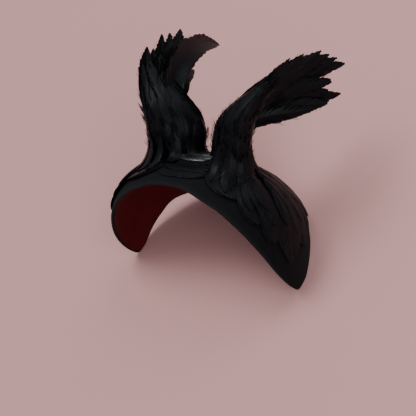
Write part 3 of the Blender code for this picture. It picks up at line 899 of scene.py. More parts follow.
class NodeSheet:
    """A node tree with short ways to add and join nodes."""

    def __init__(self, tree: bpy.types.NodeTree) -> None:
        """Keeps the tree that nodes are added to."""
        self.tree = tree

    def add(self, kind: str, **settings: object) -> bpy.types.Node:
        """Adds a node and sets its properties.

        Args:
            kind: Blender's name for the node's type.
            settings: its properties, by name.

        Returns:
            The node.
        """
        node = self.tree.nodes.new(kind)
        for name, value in settings.items():
            setattr(node, name, value)
        return node

    def join(self, source: bpy.types.NodeSocket, target: bpy.types.NodeSocket) -> None:
        """Joins an output to an input."""
        self.tree.links.new(source, target)

    def feed(self, value: object, target: bpy.types.NodeSocket) -> None:
        """Joins an output to an input, or sets a plain value on it.

        Args:
            value: the output, or a number or a colour.
            target: the input.
        """
        if isinstance(value, bpy.types.NodeSocket):
            self.join(value, target)
        else:
            target.default_value = value

    def math(self, operation: str, first: object, second: object = 0.5) -> bpy.types.NodeSocket:
        """A Math node fed by outputs or plain numbers.

        Args:
            operation: what it works out.
            first: its first value.
            second: its second value.

        Returns:
            Its output.
        """
        node = self.add("ShaderNodeMath", operation=operation)
        for socket, value in zip(node.inputs, (first, second)):
            self.feed(value, socket)
        return node.outputs[0]

    def spread(self, value: object, low: float, high: float, to_low: float, to_high: float) -> object:
        """A clamped Map Range node, which carries one range over to another in a straight line.

        Args:
            value: the output that it reads.
            low: the value that becomes to_low.
            high: the value that becomes to_high.
            to_low: what comes out at and under low.
            to_high: what comes out at and over high.

        Returns:
            Its output.
        """
        node = self.add("ShaderNodeMapRange")
        self.join(value, node.inputs["Value"])
        limits = (("From Min", low), ("From Max", high), ("To Min", to_low), ("To Max", to_high))
        for name, number in limits:
            node.inputs[name].default_value = number
        return node.outputs[0]

    def mix(self, share: object, first: object, second: object) -> bpy.types.NodeSocket:
        """A colour Mix node fed by outputs or plain colours.

        Args:
            share: how much of the second colour there is, from 0 to 1.
            first: the first colour.
            second: the second colour.

        Returns:
            Its output.
        """
        node = self.add("ShaderNodeMix", data_type="RGBA")
        for socket, value in ((node.inputs[0], share), (node.inputs[6], first), (node.inputs[7], second)):
            self.feed(value, socket)
        return node.outputs[2]

    def noise(self, place: object, scale: object, detail: float, **settings: object) -> bpy.types.Node:
        """A Noise Texture node.

        Args:
            place: the output with the coordinates.
            scale: the output with its scale.
            detail: how many finer layers it adds.
            settings: its other properties, by name.

        Returns:
            The node.
        """
        node = self.add("ShaderNodeTexNoise", **settings)
        node.inputs["Detail"].default_value = detail
        self.join(place, node.inputs["Vector"])
        self.join(scale, node.inputs["Scale"])
        return node

    def split(self, kind: str, value: object) -> tuple:
        """A node that separates a vector or a colour.

        Args:
            kind: Blender's name for the node's type.
            value: the output that it reads.

        Returns:
            Its three outputs.
        """
        node = self.add(kind)
        self.join(value, node.inputs[0])
        return tuple(node.outputs)[:3]


def new_group(
    name: str, inputs: dict[str, str], outputs: dict[str, str]
) -> tuple[NodeSheet, object, object]:
    """Makes a shader node group with named sockets.

    Args:
        name: the group's name.
        inputs: socket names with Float, Vector or Color.
        outputs: the same for what comes out.

    Returns:
        The group's sheet, its input node and its output node.
    """
    tree = bpy.data.node_groups.new(name, "ShaderNodeTree")
    for sockets, side in ((inputs, "INPUT"), (outputs, "OUTPUT")):
        for label, kind in sockets.items():
            tree.interface.new_socket(name=label, in_out=side, socket_type=f"NodeSocket{kind}")
    sheet = NodeSheet(tree)
    return sheet, sheet.add("NodeGroupInput"), sheet.add("NodeGroupOutput")


class Effects:
    """Shader node groups that more than one finish uses, or that work out one pattern, each built once."""

    def __init__(self) -> None:
        """Builds the groups."""
        self.grain = self.build_grain()
        self.tone = self.build_tone()
        self.weave = self.build_weave()
        self.barbs = self.build_barbs()

    def build_grain(self) -> bpy.types.NodeTree:
        """Grain at two scales: fine fibres and broader patches, each as a value around one half.

        The height is the fine value plus one and a half times the broad one.

        Returns:
            The group.
        """
        sheet, given, result = new_group(
            "fibre_grain",
            {"Vector": "Vector", "Fine Scale": "Float", "Broad Scale": "Float", "Stretch": "Float"},
            {"Fine": "Float", "Broad": "Float", "Height": "Float"},
        )
        values = []
        for label, detail in (("Fine", 3.0), ("Broad", 2.0)):
            noise = sheet.noise(given.outputs["Vector"], given.outputs[f"{label} Scale"], detail)
            sheet.join(given.outputs["Stretch"], noise.inputs["Distortion"])
            sheet.join(noise.outputs["Fac"], result.inputs[label])
            values.append(noise.outputs["Fac"])
        height = sheet.math("ADD", values[0], sheet.math("MULTIPLY", values[1], 1.5))
        sheet.join(height, result.inputs["Height"])
        return sheet.tree

    def build_tone(self) -> bpy.types.NodeTree:
        """Mixes a ground colour with a light and a warm one by two masks.

        Returns:
            The group.
        """
        masks = {"Light Mask": "Float", "Warm Mask": "Float"}
        sheet, given, result = new_group(
            "three_tones",
            {"Ground": "Color", "Light": "Color", "Warm": "Color"} | masks,
            {"Color": "Color"},
        )
        first = sheet.mix(given.outputs["Light Mask"], given.outputs["Ground"], given.outputs["Light"])
        second = sheet.mix(given.outputs["Warm Mask"], first, given.outputs["Warm"])
        sheet.join(second, result.inputs["Color"])
        return sheet.tree

    def build_weave(self) -> bpy.types.NodeTree:
        """Plain weave on a flat plan: two sets of threads that take turns on top.

        The height is the product of the sizes of two sines, one along each axis. Which thread is over goes
        from 0 to 1 with the sines' own product.

        Returns:
            The group.
        """
        sheet, given, result = new_group(
            "plain_weave", {"Vector": "Vector", "Threads": "Float"}, {"Height": "Float", "Over": "Float"}
        )
        axes = sheet.split("ShaderNodeSeparateXYZ", given.outputs["Vector"])
        waves = []
        for axis in axes[:2]:
            turns = sheet.math("MULTIPLY", axis, given.outputs["Threads"])
            waves.append(sheet.math("SINE", sheet.math("MULTIPLY", turns, math.pi)))
        product = sheet.math("MULTIPLY", waves[0], waves[1])
        sheet.join(sheet.spread(product, -1, 1, 0, 1), result.inputs["Over"])
        ribs = [sheet.math("ABSOLUTE", wave, 0) for wave in waves]
        sheet.join(sheet.math("MULTIPLY", ribs[0], ribs[1]), result.inputs["Height"])
        return sheet.tree

    def build_barbs(self) -> bpy.types.NodeTree:
        """Streaks along the barbs: noise on a plan whose second axis, along the barbs, is drawn out.

        Returns:
            The group.
        """
        sheet, given, result = new_group(
            "barb_streaks",
            {"Vector": "Vector", "Fine Scale": "Float", "Broad Scale": "Float", "Length": "Float"},
            {"Fine": "Float", "Broad": "Float"},
        )
        axes = sheet.split("ShaderNodeSeparateXYZ", given.outputs["Vector"])
        run = sheet.math("MULTIPLY", axes[1], given.outputs["Length"])
        packed = sheet.add("ShaderNodeCombineXYZ")
        sheet.join(axes[0], packed.inputs[0])
        sheet.join(run, packed.inputs[1])
        for label, detail in (("Fine", 1.0), ("Broad", 2.0)):
            scale = given.outputs[f"{label} Scale"]
            noise = sheet.noise(packed.outputs[0], scale, detail, noise_dimensions="2D")
            sheet.join(noise.outputs["Fac"], result.inputs[label])
        return sheet.tree


class Finish:
    """A material with a Principled shader and short ways to feed it."""

    def __init__(self, name: str, plain: dict[str, object]) -> None:
        """Makes the material.

        Args:
            name: its name.
            plain: what is the same all over it, by the names of the shader's own sockets.
        """
        self.material = bpy.data.materials.new(name)
        self.material.use_nodes = True
        self.sheet = NodeSheet(self.material.node_tree)
        self.shader = self.material.node_tree.nodes["Principled BSDF"]
        for socket, value in plain.items():
            self.shader.inputs[socket].default_value = value

    def group(self, tree: bpy.types.NodeTree, **inputs: object) -> bpy.types.Node:
        """Places a node group and feeds its inputs.

        Args:
            tree: the group.
            inputs: outputs or plain values by the inputs' names, with _ for spaces.

        Returns:
            The node that holds the group.
        """
        node = self.sheet.add("ShaderNodeGroup", node_tree=tree)
        for name, value in inputs.items():
            self.sheet.feed(value, node.inputs[name.replace("_", " ")])
        return node

    def show(self, colour: object, roughness: object) -> None:
        """Feeds the shader's colour and roughness."""
        self.sheet.join(colour, self.shader.inputs["Base Color"])
        self.sheet.join(roughness, self.shader.inputs["Roughness"])

    def bump(self, height: bpy.types.NodeSocket, strength: float, distance: float) -> None:
        """Feeds the shader's normal from a height.

        Args:
            height: the output with the height.
            strength: how much of the slope is felt.
            distance: the height in metres that a value of one stands for.
        """
        node = self.sheet.add("ShaderNodeBump")
        node.inputs["Strength"].default_value = strength
        node.inputs["Distance"].default_value = distance
        self.sheet.join(height, node.inputs["Height"])
        self.sheet.join(node.outputs[0], self.shader.inputs["Normal"])

    def dress(self, piece: bpy.types.Object) -> None:
        """Puts the material on a piece."""
        piece.data.materials.append(self.material)


def hand_over(piece: bpy.types.Object, finish: Finish, node: str) -> None:
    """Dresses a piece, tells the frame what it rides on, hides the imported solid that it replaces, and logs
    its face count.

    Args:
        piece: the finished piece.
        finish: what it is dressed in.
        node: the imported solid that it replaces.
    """
    finish.dress(piece)
    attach(piece, BODY)
    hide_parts(node)
    log.info("%s: %d faces", piece.name, len(piece.data.polygons))


@dataclass(frozen=True)
class FeltFinish:
    """Black wool felt with a short nap.

    A span is four numbers for a Map Range node: its low and high values and what they become.
    """

    ground: tuple[float, ...] = (0.0034, 0.0034, 0.0040, 1)
    light: tuple[float, ...] = (0.0070, 0.0070, 0.0082, 1)
    # The paler third colour is a painted highlight along the felt's cut rims, where the edge catches the
    # light.
    painted_rim_highlight: tuple[float, ...] = (0.0130, 0.0134, 0.0158, 1)
    fibre: float = 1500.0
    patch: float = 90.0
    stretch: float = 0.6
    fibre_span: tuple[float, ...] = (0.40, 0.75, 0.0, 0.8)
    patch_span: tuple[float, ...] = (0.45, 0.75, 0.0, 0.5)
    # This span lets the fine grain break up the painted rim highlight.
    rim_highlight_grain_span: tuple[float, ...] = (0.3, 0.6, 0.3, 1.0)
    rough_span: tuple[float, ...] = (0.3, 0.7, 0.85, 1.0)
    specular: float = 0.10
    sheen: float = 0.02
    sheen_rough: float = 0.5
    nap: float = 0.25 * MM
    nap_strength: float = 0.5

    def build(self, effects: Effects) -> Finish:
        """Builds the material: fibre grain in tone, roughness and bump, and a painted highlight along the rims
        of the cut edges, broken up by the fine grain.

        Args:
            effects: the shared groups.

        Returns:
            The finish.
        """
        plain = {
            "Sheen Weight": self.sheen,
            "Sheen Roughness": self.sheen_rough,
            "Specular IOR Level": self.specular,
        }
        finish = Finish("felt_nap", plain)
        sheet = finish.sheet
        place = sheet.add("ShaderNodeTexCoord").outputs["Object"]
        scales = {"Fine_Scale": self.fibre, "Broad_Scale": self.patch, "Stretch": self.stretch}
        grain = finish.group(effects.grain, Vector=place, **scales).outputs
        fine = sheet.spread(grain["Fine"], *self.fibre_span)
        broad = sheet.spread(grain["Broad"], *self.patch_span)
        # The rim mask times the fine grain places the painted highlight along the cut edges, fed in as the
        # third tone.
        rim = sheet.add("ShaderNodeAttribute", attribute_name="rim").outputs["Color"]
        edge = sheet.split("ShaderNodeSeparateColor", rim)[0]
        tone = finish.group(
            effects.tone,
            Ground=self.ground,
            Light=self.light,
            Warm=self.painted_rim_highlight,
            Light_Mask=sheet.math("MAXIMUM", fine, broad),
            Warm_Mask=sheet.math("MULTIPLY", edge, sheet.spread(grain["Fine"], *self.rim_highlight_grain_span)),
        )
        finish.show(tone.outputs[0], sheet.spread(grain["Fine"], *self.rough_span))
        finish.bump(grain["Height"], self.nap_strength, self.nap)
        return finish


@dataclass(frozen=True)
class LiningFinish:
    """Dark red woven lining with a faint sheen."""

    # Ground goes into the dips between threads and light onto the thread crowns, as painted shade and
    # highlight of the weave; warm marks broad random patches.
    ground: tuple[float, ...] = (0.062, 0.0010, 0.0026, 1)
    light: tuple[float, ...] = (0.100, 0.0024, 0.0050, 1)
    warm: tuple[float, ...] = (0.046, 0.0009, 0.0022, 1)
    threads: float = 1400.0
    fibre: float = 900.0
    patch: float = 70.0
    stretch: float = 0.3
    patch_span: tuple[float, ...] = (0.40, 0.75, 0.0, 0.6)
    rough_span: tuple[float, ...] = (0.0, 1.0, 0.5, 0.72)
    specular: float = 0.16
    sheen: float = 0.02
    sheen_rough: float = 0.4
    thread: float = 0.12 * MM
    thread_strength: float = 0.35

    def build(self, effects: Effects) -> Finish:
        """Builds the material: a plain weave in its bump, with its thread crowns painted lighter and the dips
        between them darker as painted shade, and slight unevenness of tone in broad patches.

        Args:
            effects: the shared groups.

        Returns:
            The finish.
        """
        plain = {
            "Sheen Weight": self.sheen,
            "Sheen Roughness": self.sheen_rough,
            "Specular IOR Level": self.specular,
        }
        finish = Finish("lining_weave", plain)
        sheet = finish.sheet
        place = sheet.add("ShaderNodeTexCoord").outputs
        weave = finish.group(effects.weave, Vector=place["UV"], Threads=self.threads).outputs
        scales = {"Fine_Scale": self.fibre, "Broad_Scale": self.patch, "Stretch": self.stretch}
        grain = finish.group(effects.grain, Vector=place["Object"], **scales).outputs
        # The weave's height, which also feeds the bump, paints the thread crowns lighter and the dips darker:
        # painted shade of the weave's relief.
        tone = finish.group(
            effects.tone,
            Ground=self.ground,
            Light=self.light,
            Warm=self.warm,
            Light_Mask=weave["Height"],
            Warm_Mask=sheet.spread(grain["Broad"], *self.patch_span),
        )
        finish.show(tone.outputs[0], sheet.spread(weave["Over"], *self.rough_span))
        finish.bump(weave["Height"], self.thread_strength, self.thread)
        return finish


@dataclass(frozen=True)
class FeatherFinish:
    """Black feather with a satin sheen, paler clumps and brownish tips."""

    name: str
    ground: tuple[float, ...] = (0.0032, 0.0033, 0.0041, 1)
    light: tuple[float, ...] = (0.0084, 0.0086, 0.0106, 1)
    warm: tuple[float, ...] = (0.0046, 0.0040, 0.0039, 1)
    rough: tuple[float, float] = (0.29, 0.46)
    gloss_span: tuple[float, float] = (0.3, 0.7)
    clump_span: tuple[float, ...] = (0.42, 0.75, 0.0, 1.0)
    lock_span: tuple[float, ...] = (0.0, 1.0, 0.35, 1.0)
    edge_span: tuple[float, ...] = (0.70, 1.05, 0.0, 0.4)
    tip_start: float = 0.62
    tip_matt: float = 0.22
    warm_most: float = 0.7
    specular: float = 0.09
    barb: float = 2600.0
    clump: float = 420.0
    draw: float = 0.07
    relief: float = 0.12 * MM
    relief_strength: float = 0.30

    def build(self, effects: Effects) -> Finish:
        """Builds the material from the marks and the plan.

        In the marks, red is the place along the feather, green the place across it, blue the lock and alpha
        the feather.

        Args:
            effects: the shared groups.

        Returns:
            The finish.
        """
        finish = Finish(self.name, {"Specular IOR Level": self.specular})
        sheet = finish.sheet
        marks = sheet.add("ShaderNodeAttribute", attribute_name="plumage").outputs
        along, across, lock = sheet.split("ShaderNodeSeparateColor", marks["Color"])
        plan = sheet.add("ShaderNodeTexCoord").outputs["UV"]
        scales = {"Fine_Scale": self.barb, "Broad_Scale": self.clump, "Length": self.draw}
        barbs = finish.group(effects.barbs, Vector=plan, **scales).outputs
        streak = sheet.spread(barbs["Broad"], *self.clump_span)
        tip = sheet.spread(along, self.tip_start, 1.0, 0, 1)
        edge = sheet.math("MAXIMUM", tip, sheet.spread(across, *self.edge_span))
        brown = sheet.math("MULTIPLY", marks["Alpha"], self.warm_most)
        tone = finish.group(
            effects.tone,
            Ground=self.ground,
            Light=self.light,
            Warm=self.warm,
            Light_Mask=sheet.math("MULTIPLY", streak, sheet.spread(lock, *self.lock_span)),
            Warm_Mask=sheet.math("MULTIPLY", edge, brown),
        )
        gloss = sheet.spread(barbs["Fine"], *self.gloss_span, *self.rough)
        matt = sheet.spread(along, self.tip_start, 1.0, 0, self.tip_matt)
        finish.show(tone.outputs[0], sheet.math("ADD", gloss, matt))
        finish.bump(barbs["Fine"], self.relief_strength, self.relief)
        return finish


@dataclass
class Wall:
    """A wall of cloth that follows the dome between the felt's edges, with rounded rims."""

    name: str
    node: str
    slot: Slot
    dome: Dome
    pose: RestPose
    top: float
    thickness: float
    setback: float = 0.0
    rows: int = 281
    columns: int = 57
    rim: int = 7
    last_turn: float = 88.6
    least_half: float = 0.02
    ripple: float = 0.12 * MM
    ripple_waves: tuple[float, ...] = (0.31, 0.17, 0.23, 0.11)
    pucker: float = 0.0
    pucker_waves: tuple[float, float] = (1.9, 0.43)
    pucker_shift: float = 1.0
    pucker_gain: float = 6.0
    scale: float = 1.8 * MM
    # How many rows in from each edge the painted rim highlight fades in over, and how strong it gets on the
    # flat faces; the rounded rims get all of it.
    rim_highlight_rows: float = 3.0
    rim_highlight_most: float = 0.6

    def section(self) -> tuple[Array, Array, Array]:
        """Closed section of the wall: the top, round the back rim, the underside and round the front rim.

        The rims are half circles: the sine of the turn outwards, one minus its cosine down.

        Returns:
            Three values round the section. The place across the wall, from -1 at the back edge to 1 at the
            front. The reach past the edge as a share of the rim's radius. The depth as a share of the
            thickness.
        """
        span = np.linspace(1, -1, self.columns)
        turn = np.linspace(0, math.pi, self.rim + 2)[1:-1]
        ones = np.ones(self.rim)
        flat = np.zeros(self.columns)
        round_out = np.sin(turn)
        round_down = (1 - np.cos(turn)) / 2
        share = np.concatenate((span, -ones, -span, ones))
        out = np.concatenate((flat, round_out, flat, round_out))
        down = np.concatenate((flat, round_down, flat + 1, round_down[::-1]))
        return share, out, down

    def relief(self, fore: Array, side: Array, share: Array) -> Array:
        """Slight unevenness of the wall: slow ripples in its middle and puckers just inside its edges.

        Ripples are the product of two slanting sine waves, faded by one minus the share's square. Puckers
        are the product of two sines along the edge, faded by the share's sixth power less one, times its
        fourth power.

        Args:
            fore: degrees from the crown towards the face.
            side: degrees from the crown towards the wearer's left.
            share: the place across the wall, from -1 to 1.

        Returns:
            Heights off the wall.
        """
        first_fore, first_side, second_side, second_fore = self.ripple_waves
        wave = np.sin(fore * first_fore + side * first_side) * np.sin(side * second_side - fore * second_fore)
        quick, slow = self.pucker_waves
        gather = np.sin(side * quick) * np.sin(side * slow + self.pucker_shift)
        inside = (share**6 - 1) * share**4 * self.pucker_gain
        return self.ripple * wave * (1 - share**2) + self.pucker * gather * inside

    def build(self, finish: Finish) -> None:
        """Makes the wall as one closed surface of two parameters, the turn along it and the place round it.

        Args:
            finish: what it is dressed in.
        """
        share, out, down = self.section()
        turn = np.radians(np.linspace(-self.last_turn, self.last_turn, self.rows))
        side = ((self.dome.lobe_reach - self.setback) * np.sin(turn))[:, None]
        front, back = self.dome.reach(side)
        radius = np.degrees(self.thickness / 2 / self.dome.front)
        half = np.maximum((front - back) / 2 - self.setback - radius, self.least_half)
        fore = (front + back) / 2 + (half + radius * out) * share
        proud = self.top - self.thickness * down + self.relief(fore, side, share)
        surface = self.pose.flatten(self.dome.point(fore, side, proud))
        ends = np.stack((surface[0].mean(axis=0), surface[-1].mean(axis=0)))
        points = self.pose.place(np.concatenate((surface.reshape(-1, 3), ends)))
        piece = make_object(self.name, points, tube_faces(self.rows, len(share))[:, ::-1])
        plan = np.stack((fore, side * np.ones_like(fore)), axis=-1) * self.scale
        map_points(piece, np.concatenate((plan.reshape(-1, 2), plan[0, :1], plan[-1, :1])))
        # Mask of the painted highlight along the rims, kept in the rim attribute for the felt's material.
        near = np.clip(1 - (1 - np.abs(share)) * self.columns / self.rim_highlight_rows, 0, 1)
        rim_highlight_mask = np.where(out > 0, 1.0, near * self.rim_highlight_most)
        marks = np.ones((self.rows, 1, 4)) * rim_highlight_mask[None, :, None]
        mark_points(piece, "rim", np.concatenate((marks.reshape(-1, 4), np.ones((2, 4)))))
        hand_over(piece, finish, self.node)


@dataclass(frozen=True)
class Layer:
    """Sizes of the feathers that lie on the felt.

    Places, plays, lengths and bows are in degrees on the dome. A foot is where a plume stands. Heights,
    sinks and drops are shares of a loft over the lowest feather. Pairs are the least and the most of a
    random draw, in millimetres where the name says so.
    """

    gap: float = 0.55 * MM
    vane: float = 1.1 * MM
    stations: int = 25
    copies: int = 3
    foot_fore: float = 1.6
    foot_side: float = 17.8

    wing_seed: int = 41
    wing_length: float = 50.0
    wing_half_width: float = 9 * MM
    wing_width_share: tuple[float, float] = (0.85, 1.05)
    wing_loft: float = 2.9 * MM
    wing_play: tuple[float, ...] = (2.2, 2.4, 2.6, 2.0)
    wing_sink: float = 0.12
    wing_least: float = 0.1
    wing_fall: float = 2.5
    wing_bow: tuple[float, float] = (0.2, 1.8)

    covert_bearings: tuple[float, float] = (-72.0, 118.0)
    covert_bearing_play: float = 4.0
    covert_length: float = 19.0
    covert_length_play: tuple[float, float] = (-2.0, 3.0)
    covert_fore_play: float = 2.0
    covert_front_margin: float = 6.0
    covert_back_margin: float = 4.0
    covert_drop: float = 0.35
    covert_bow: tuple[float, float] = (-0.5, 0.8)
    covert_width_mm: tuple[float, float] = (4.2, 5.6)

    crown_seed: int = 7
    crown_half_width: float = 5.5 * MM
    crown_loft: float = 3.0 * MM
    crown_play: tuple[float, ...] = (1.4, 1.4, 1.0)
    crown_slant: float = 0.5
    crown_overlap: float = 2.5
    crown_sink: float = 0.14
    crown_least: float = 0.15
    crown_tip: float = 0.4
    crown_bow: tuple[float, float] = (1.0, 2.2)

    crest_seed: int = 3
    crest_count: int = 7
    crest_span: tuple[float, float] = (7.5, -5.0)
    crest_middle: float = 1.5
    crest_height: float = 1.22
    crest_fall: float = 0.006
    crest_height_play: float = 0.06
    crest_play: float = 2.4
    crest_root: tuple[float, float] = (1.8, -13.0)
    crest_tip: tuple[float, float] = (-2.2, 10.5)
    crest_bow: tuple[float, float] = (0.4, 1.6)
    crest_width_mm: tuple[float, float] = (3.2, 4.6)
    crest_tone: float = 0.2

    @property
    def low(self) -> float:
        """Height of the lowest feather's middle off the felt."""
        return self.gap + self.vane / 2

    @property
    def foot(self) -> Array:
        """Place of a foot, fore and side."""
        return np.array((self.foot_fore, self.foot_side))


@dataclass
class LyingFeathers:
    """Feathers that follow the dome: the wings over the sides and the bands across the crown."""

    dome: Dome
    pose: RestPose
    layer: Layer = Layer()

    def spine(self, root: Array, tip: Array, heights: tuple[float, float], bow: float) -> Spine:
        """Centre line over the dome: straight in degrees, with a bow to the front, rising or falling evenly.

        Args:
            root: fore and side of the root.
            tip: fore and side of the tip.
            heights: height off the felt at the root and at the tip.
            bow: how far the middle lies to the front, in degrees.

        Returns:
            The spine, its face away from the dome.
        """
        t = np.linspace(0, 1, self.layer.stations)
        fore = root[0] + (tip[0] - root[0]) * t + bow * 4 * t * (1 - t)
        side = root[1] + (tip[1] - root[1]) * t
        height = heights[0] + (heights[1] - heights[0]) * t
        centre = self.dome.point(fore, side, height)
        normal = unit(self.dome.point(fore, side, height + MM) - centre)
        return Spine.turned(centre, normal)

    def wing(self, hand: Hand, finish: Finish) -> None:
        """Overlapping feathers over one side of the felt, with more under them and small coverts on top.

        Args:
            hand: the side.
            finish: what they are dressed in.
        """
        layer = self.layer
        plumage = Plumage(layer.wing_seed)
        random = plumage.random
        for row in WING.each():
            for copy in range(layer.copies):
                play = random.uniform(-1, 1, 4) * layer.wing_play * min(copy, 1)
                root = np.array((row["root_fore"], layer.foot_side + row["root_side"] * layer.wing_length))
                tip = np.array((row["tip_fore"], layer.foot_side + row["tip_side"] * layer.wing_length))
                tip = tip + play[2:] - (0, layer.wing_fall * copy)
                shares = (row[name] - layer.wing_sink * copy for name in ("root_height", "tip_height"))
                heights = [layer.low + max(share, layer.wing_least) * layer.wing_loft for share in shares]
                spine = self.spine(root + play[:2], tip, heights, bow=random.uniform(*layer.wing_bow))
                width = row["width"] * layer.wing_half_width * random.uniform(*layer.wing_width_share)
                plumage.feather(spine, width, WING_VANE, random.random())
        self.coverts(plumage)
        self.show(plumage, f"side_wing_{hand.label}", f"wing_feathers_{hand.label}", hand, finish)

    def coverts(self, plumage: Plumage) -> None:
        """Small feathers in rounds out from the plume's foot, each pointing away from it.

        Those that would reach past the felt's edge are left out.

        Args:
            plumage: what they are added to.
        """
        layer = self.layer
        random = plumage.random
        play = layer.covert_bearing_play
        for row in COVERTS.each():
            count = row["count"]
            for bearing in np.linspace(*layer.covert_bearings, count) + random.uniform(-play, play, count):
                angle = math.radians(bearing) - math.pi / 4
                away = np.array((-math.sin(angle), math.cos(angle)))
                root = layer.foot + away * row["distance"]
                length = layer.covert_length + random.uniform(*layer.covert_length_play)
                drift = random.uniform(-layer.covert_fore_play, layer.covert_fore_play)
                tip = root + away * length + (drift, 0)
                front, back = self.dome.reach(np.array((root[1], tip[1])))
                fore = np.array((root[0], tip[0]))
                if (fore > front - layer.covert_front_margin).any():
                    continue
                if (fore < back + layer.covert_back_margin).any():
                    continue
                shares = (row["height"], row["height"] - layer.covert_drop)
                heights = [layer.low + share * layer.wing_loft for share in shares]
                spine = self.spine(root, tip, heights, bow=random.uniform(*layer.covert_bow))
                width = random.uniform(*layer.covert_width_mm) * MM
                plumage.feather(spine, width, WING_VANE, random.random())

    def crown(self, finish: Finish) -> None:
        """Narrow feathers laid from side to side between the plumes, their ends under the plumes' feet.

        Args:
            finish: what they are dressed in.
        """
        layer = self.layer
        plumage = Plumage(layer.crown_seed)
        random = plumage.random
        for number, row in enumerate(CROWN.each()):
            for copy in range(layer.copies):
                hand = 1 if (number + copy) % 2 else -1
                play = random.uniform(-1, 1, 3) * layer.crown_play * min(copy, 1)
                end = hand * (row["reach"] * layer.foot_side + layer.crown_overlap + play[2])
                share = max(row["height"] - layer.crown_sink * copy, layer.crown_least)
                height = share * layer.crown_loft
                root = np.array((row["fore"] - layer.crown_slant + play[0], -end))
                tip = np.array((row["fore"] + layer.crown_slant + play[1], end))
                heights = (layer.low + height, layer.low + layer.crown_tip * height)
                spine = self.spine(root, tip, heights, bow=random.uniform(*layer.crown_bow))
                plumage.feather(spine, layer.crown_half_width, CROWN_VANE, random.random())
        self.show(plumage, "crown_bands", "crown_feathers", Hand.LEFT, finish)

    def crest(self, finish: Finish) -> None:
        """Narrow glossy feathers along the top of the crown, each overlapping the next.

        Args:
            finish: what they are dressed in.
        """
        layer = self.layer
        plumage = Plumage(layer.crest_seed)
        random = plumage.random
        for fore in np.linspace(*layer.crest_span, layer.crest_count):
            share = layer.crest_height - layer.crest_fall * (fore - layer.crest_middle) ** 2
            share = share + random.uniform(-layer.crest_height_play, layer.crest_height_play)
            high = layer.low + share * layer.crown_loft
            ends = random.uniform(-layer.crest_play, layer.crest_play, 4)
            root = np.array((fore, 0)) + layer.crest_root + ends[:2]
            tip = np.array((fore, 0)) + layer.crest_tip + ends[2:]
            spine = self.spine(root, tip, (high, high), bow=random.uniform(*layer.crest_bow))
            width = random.uniform(*layer.crest_width_mm) * MM
            plumage.feather(spine, width, CREST_VANE, layer.crest_tone)
        self.show(plumage, "crown_crest", "crown_feathers", Hand.LEFT, finish)

    def show(self, plumage: Plumage, name: str, node: str, hand: Hand, finish: Finish) -> None:
        """Makes the object from feathers of the left side, mirrored for the right.

        Args:
            plumage: the feathers.
            name: the piece's name.
            node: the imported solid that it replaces.
            hand: the side that it is for.
            finish: what it is dressed in.
        """
        if hand is Hand.RIGHT:
            plumage.points = [points * (1, -1, 1) for points in plumage.points]
            plumage.faces = [faces[:, ::-1] for faces in plumage.faces]
        hand_over(plumage.finish(name, self.pose), finish, node)


@dataclass(frozen=True)
class Neck:
    """Sizes of what covers a plume's stem: its flutes, its hackles, the skirt at its foot and its wisps.

    Pairs are the least and the most of a random draw, and other plays are its spread. Half widths and
    lengths are in millimetres where the name says so, and the skirt's reach is in degrees on the dome.
    """

    rings: int = 25
    sides: int = 42
    sink: float = -1.0 * MM
    flute: float = 0.35 * MM
    flutes: int = 9
    flute_turn: float = 3.0
    point: float = 0.9

    hackle_stagger: float = 0.5
    hackle_height_play: float = 0.04
    hackle_turn_play: float = 0.08
    hackle_drift: float = 0.12
    hackle_base: float = 0.1 * MM
    hackle_swell: float = 1.6 * MM
    hackle_swell_end: float = 0.72
    hackle_layer: float = 0.12 * MM
    hackle_width_mm: tuple[float, float] = (6.0, 8.0)

    skirt_stagger: float = 4.0
    skirt_turn_play: float = 0.08
    skirt_height_play: tuple[float, float] = (-0.08, 0.10)
    skirt_reach_play: tuple[float, float] = (0.9, 1.12)
    skirt_broad: float = 9.5
    skirt_low: float = 0.20
    skirt_near: float = 0.70
    skirt_heights: tuple[float, ...] = (1.9 * MM, 2.0 * MM, 3.1 * MM, 3.7 * MM)
    skirt_up: float = 9 * MM
    skirt_width_mm: tuple[float, float] = (5.0, 6.4)
    skirt_tone: float = 0.7

    tufts: int = 250
    tuft_wisps: int = 5
    tuft_span: tuple[float, float] = (0.04, 0.95)
    tuft_proud: float = 2.2 * MM
    tuft_turn_play: float = 0.05
    tuft_height_play: float = 0.012
    tuft_step: float = 0.04
    tuft_slant: tuple[float, float] = (0.08, 0.50)
    tuft_length_mm: tuple[float, float] = (4.0, 8.0)
    wisp_play_mm: tuple[float, float] = (-1.5, 1.0)
    tuft_curl: float = 0.13
    wisp_curl: float = 0.06
    wisp_out: float = 0.05
    wisp_tone: float = 0.2


